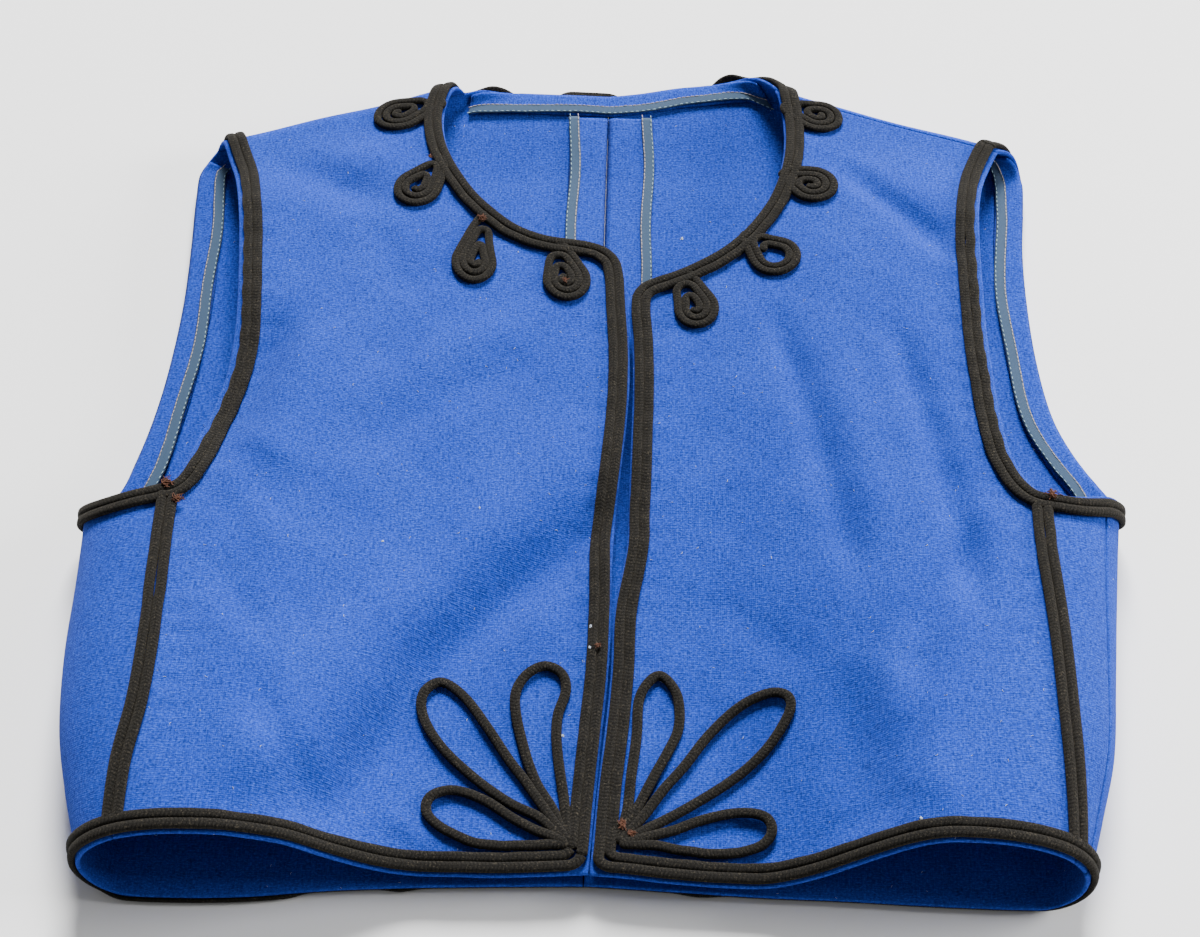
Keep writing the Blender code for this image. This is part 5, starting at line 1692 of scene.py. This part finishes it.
def build_bands():
    """Two plaited cords side by side along every edge and both side seams."""
    insets = {"outer": EDGE_SHOWS + CORD_WIDE / 2, "inner": EDGE_SHOWS + BAND_WIDE - CORD_WIDE / 2}
    for word, inset in insets.items():
        radius = CORNER_TURN[word]
        front, hem = Guide(neck_front_stretches(inset + radius)), Guide(hem_stretches(inset + radius))
        runs = [(front, past_the_edge(front, inset), False),
                (Guide([(OVER, LEFT, corner_line(LEFT, inset, radius), 0.0, 1.0)]), 0.0, False),
                (hem, -past_the_edge(hem, inset), True),
                (Guide([(OVER, RIGHT, corner_line(RIGHT, inset, radius), 1.0, 0.0)]), 0.0, False)]
        dress(cord(f"edge_cord_{word}", runs, CORD_WIDE, CORD_HIGH, closed=True), "black_cord",
              "neck_and_front_braid", "hem_braid")
    for side in (RIGHT, LEFT):
        name = SIDE_NAMES[side]
        guide = Guide(armhole_stretches(side), closed=True)
        for word, inset in insets.items():
            runs = [(guide, -side * (inset + ARMHOLE_RIM), False)]
            dress(cord(f"armhole_cord_{name}_{word}", runs, CORD_WIDE, CORD_HIGH, closed=True), "black_cord",
                  f"armhole_braid_{name}")
        guide = Guide(side_band_stretches(side))
        for word, at in (("front", -CORD_WIDE / 2), ("back", CORD_WIDE / 2)):
            dress(cord(f"side_cord_{name}_{word}", [(guide, at, False)], CORD_WIDE, CORD_HIGH), "black_cord",
                  f"side_braid_{name}")


def build_ornament():
    """Coils round the neck and petals at the hem corners."""
    for number, swirl in enumerate(SWIRLS, 1):
        guide = Guide([(OVER, swirl[0], swirl_line(swirl), 0.0, 1.0)])
        dress(cord(f"neck_coil_{number}", [(guide, 0.0, False)], SWIRL_WIDE, SWIRL_HIGH), "black_cord",
              f"neck_swirl_{number}")
    for side in (RIGHT, LEFT):
        for rank, (word, points) in enumerate(zip(PETAL_NAMES, PETALS[side])):
            guide = Guide([(OVER, side, petal_line(side, points), 0.0, 1.0)])
            dress(cord(f"hem_loop_{SIDE_NAMES[side]}_{word}", [(guide, 0.0, False)], SINGLE_WIDE, CORD_HIGH,
                       lift=PETAL_STEP_UP * rank), "black_cord", f"hem_petal_{SIDE_NAMES[side]}_{word}")


def thread_knot(name, layer, side, u, v, size, seed, out, material):
    """Small tuft of tangled thread a given distance off the cloth's outer face."""
    chance = np.random.default_rng(seed)
    centre = surface(layer, side, u, v) - MIDDLE + slopes_at(layer, side, u, v)[2] * out
    curve = bpy.data.curves.new(name, "CURVE")
    curve.dimensions = "3D"
    curve.bevel_depth = TUFT_THREAD_RADIUS
    curve.bevel_resolution = 1
    curve.use_fill_caps = True
    for _ in range(TUFT_THREADS):
        steps = chance.normal(0, 1, (TUFT_TURNS, 3)) * TUFT_SHAPE * size
        path = centre + calmed(steps, 1, False)
        spline = curve.splines.new("POLY")
        spline.points.add(len(path) - 1)
        spline.points.foreach_set("co", np.column_stack((path, np.ones(len(path)))).ravel())
    return new_piece(name, made_plain(placed(name + "_line", curve), name), material)


def build_knots():
    """Knots of rusty thread on top of the cords."""
    for number, (*place, size) in enumerate(KNOTS, 1):
        tuft = thread_knot(f"thread_knot_{number}", *place, size, KNOT_SEED + number, CORD_HIGH + TUFT_PROUD,
                           RUST_THREAD)
        dress(tuft, "black_cord")


def build_lint(panels):
    """Pale fibres caught on the fronts and inside the back, with a few larger specks."""
    for word in ("front_right", "front_left", "back_right", "back_left"):
        source = panels[word].data.copy()
        piece = grown(f"lint_{word}", source, LINT_TREE, {"Material": LINT_FLUFF, "Density": LINT_SCATTER})
        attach(piece, "root")
    for number, (layer, side, u, v, size) in enumerate(LINT_SPECKS, 1):
        out = SPECK_ON_CORD if layer == OVER and u < SLIT_CORDS_REACH else 0.0
        if layer == UNDER:
            out = -CLOTH_THICK
        piece = thread_knot(f"lint_speck_{number}", layer, side, u, v, size, SPECK_SEED + number, out,
                            LINT_FLUFF)
        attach(piece, "root")


def declare_sheets(inside):
    """Runs through each cut panel's flat size, as width and length, with its cut area, and the inside pieces
    on it, without recording them.
    """
    for name, width, length, area, below in CUTS:
        trims = inside.get(name, [])
        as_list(trims)


def build_studio():
    """Pale floor, soft light and the camera."""
    mesh = bpy.data.meshes.new("floor")
    corners = ((-1, -1), (1, -1), (1, 1), (-1, 1))
    mesh.from_pydata([(x * FLOOR_HALF, y * FLOOR_HALF, -FLOOR_BELOW) for x, y in corners], [], [(0, 1, 2, 3)])
    mesh.materials.append(floor_paper())
    placed("floor", mesh)
    world = bpy.data.worlds.new("studio")
    bpy.context.scene.world = world
    world.use_nodes = True
    sky = world.node_tree.nodes["Background"].inputs
    sky["Color"].default_value = (1.0, 1.0, 1.0, 1.0)
    sky["Strength"].default_value = SKY_STRENGTH
    for name, place, size, power in LAMPS:
        lamp = bpy.data.lights.new(name, "AREA")
        lamp.size = size
        lamp.energy = power
        holder = placed(name, lamp)
        holder.location = place
        holder.rotation_euler = (-Vector(place)).to_track_quat("-Z", "Y").to_euler()
    camera = bpy.data.cameras.new("camera")
    camera.lens = CAMERA_LENS
    camera.shift_x, camera.shift_y = CAMERA_SHIFT
    camera.clip_start = CAMERA_CLIP
    holder = placed("camera", camera)
    holder.location = CAMERA_AT - MIDDLE
    holder.rotation_euler = CAMERA_TURN
    bpy.context.scene.camera = holder


build_studio()
WEAVE = weave_group()
PLAIT_STRANDS = plait_group()
PLAIT = plait_tree()
STITCH = stitch_tree()
CLOTH = wool_cloth()
CORD = plaited_wool()
TAPE = woven_tape()
CREAM_THREAD = thread("cream_thread", CREAM)
PALE_THREAD = thread("pale_thread", CYAN)
RUST_THREAD = thread("rust_thread", RUST)
LINT_FLUFF = thread("pale_lint", LINT)
LINT_TREE = lint_tree()
cloth = build_panels()
inside = build_inside()
build_bands()
build_ornament()
build_knots()
build_lint(cloth)
declare_sheets(inside)
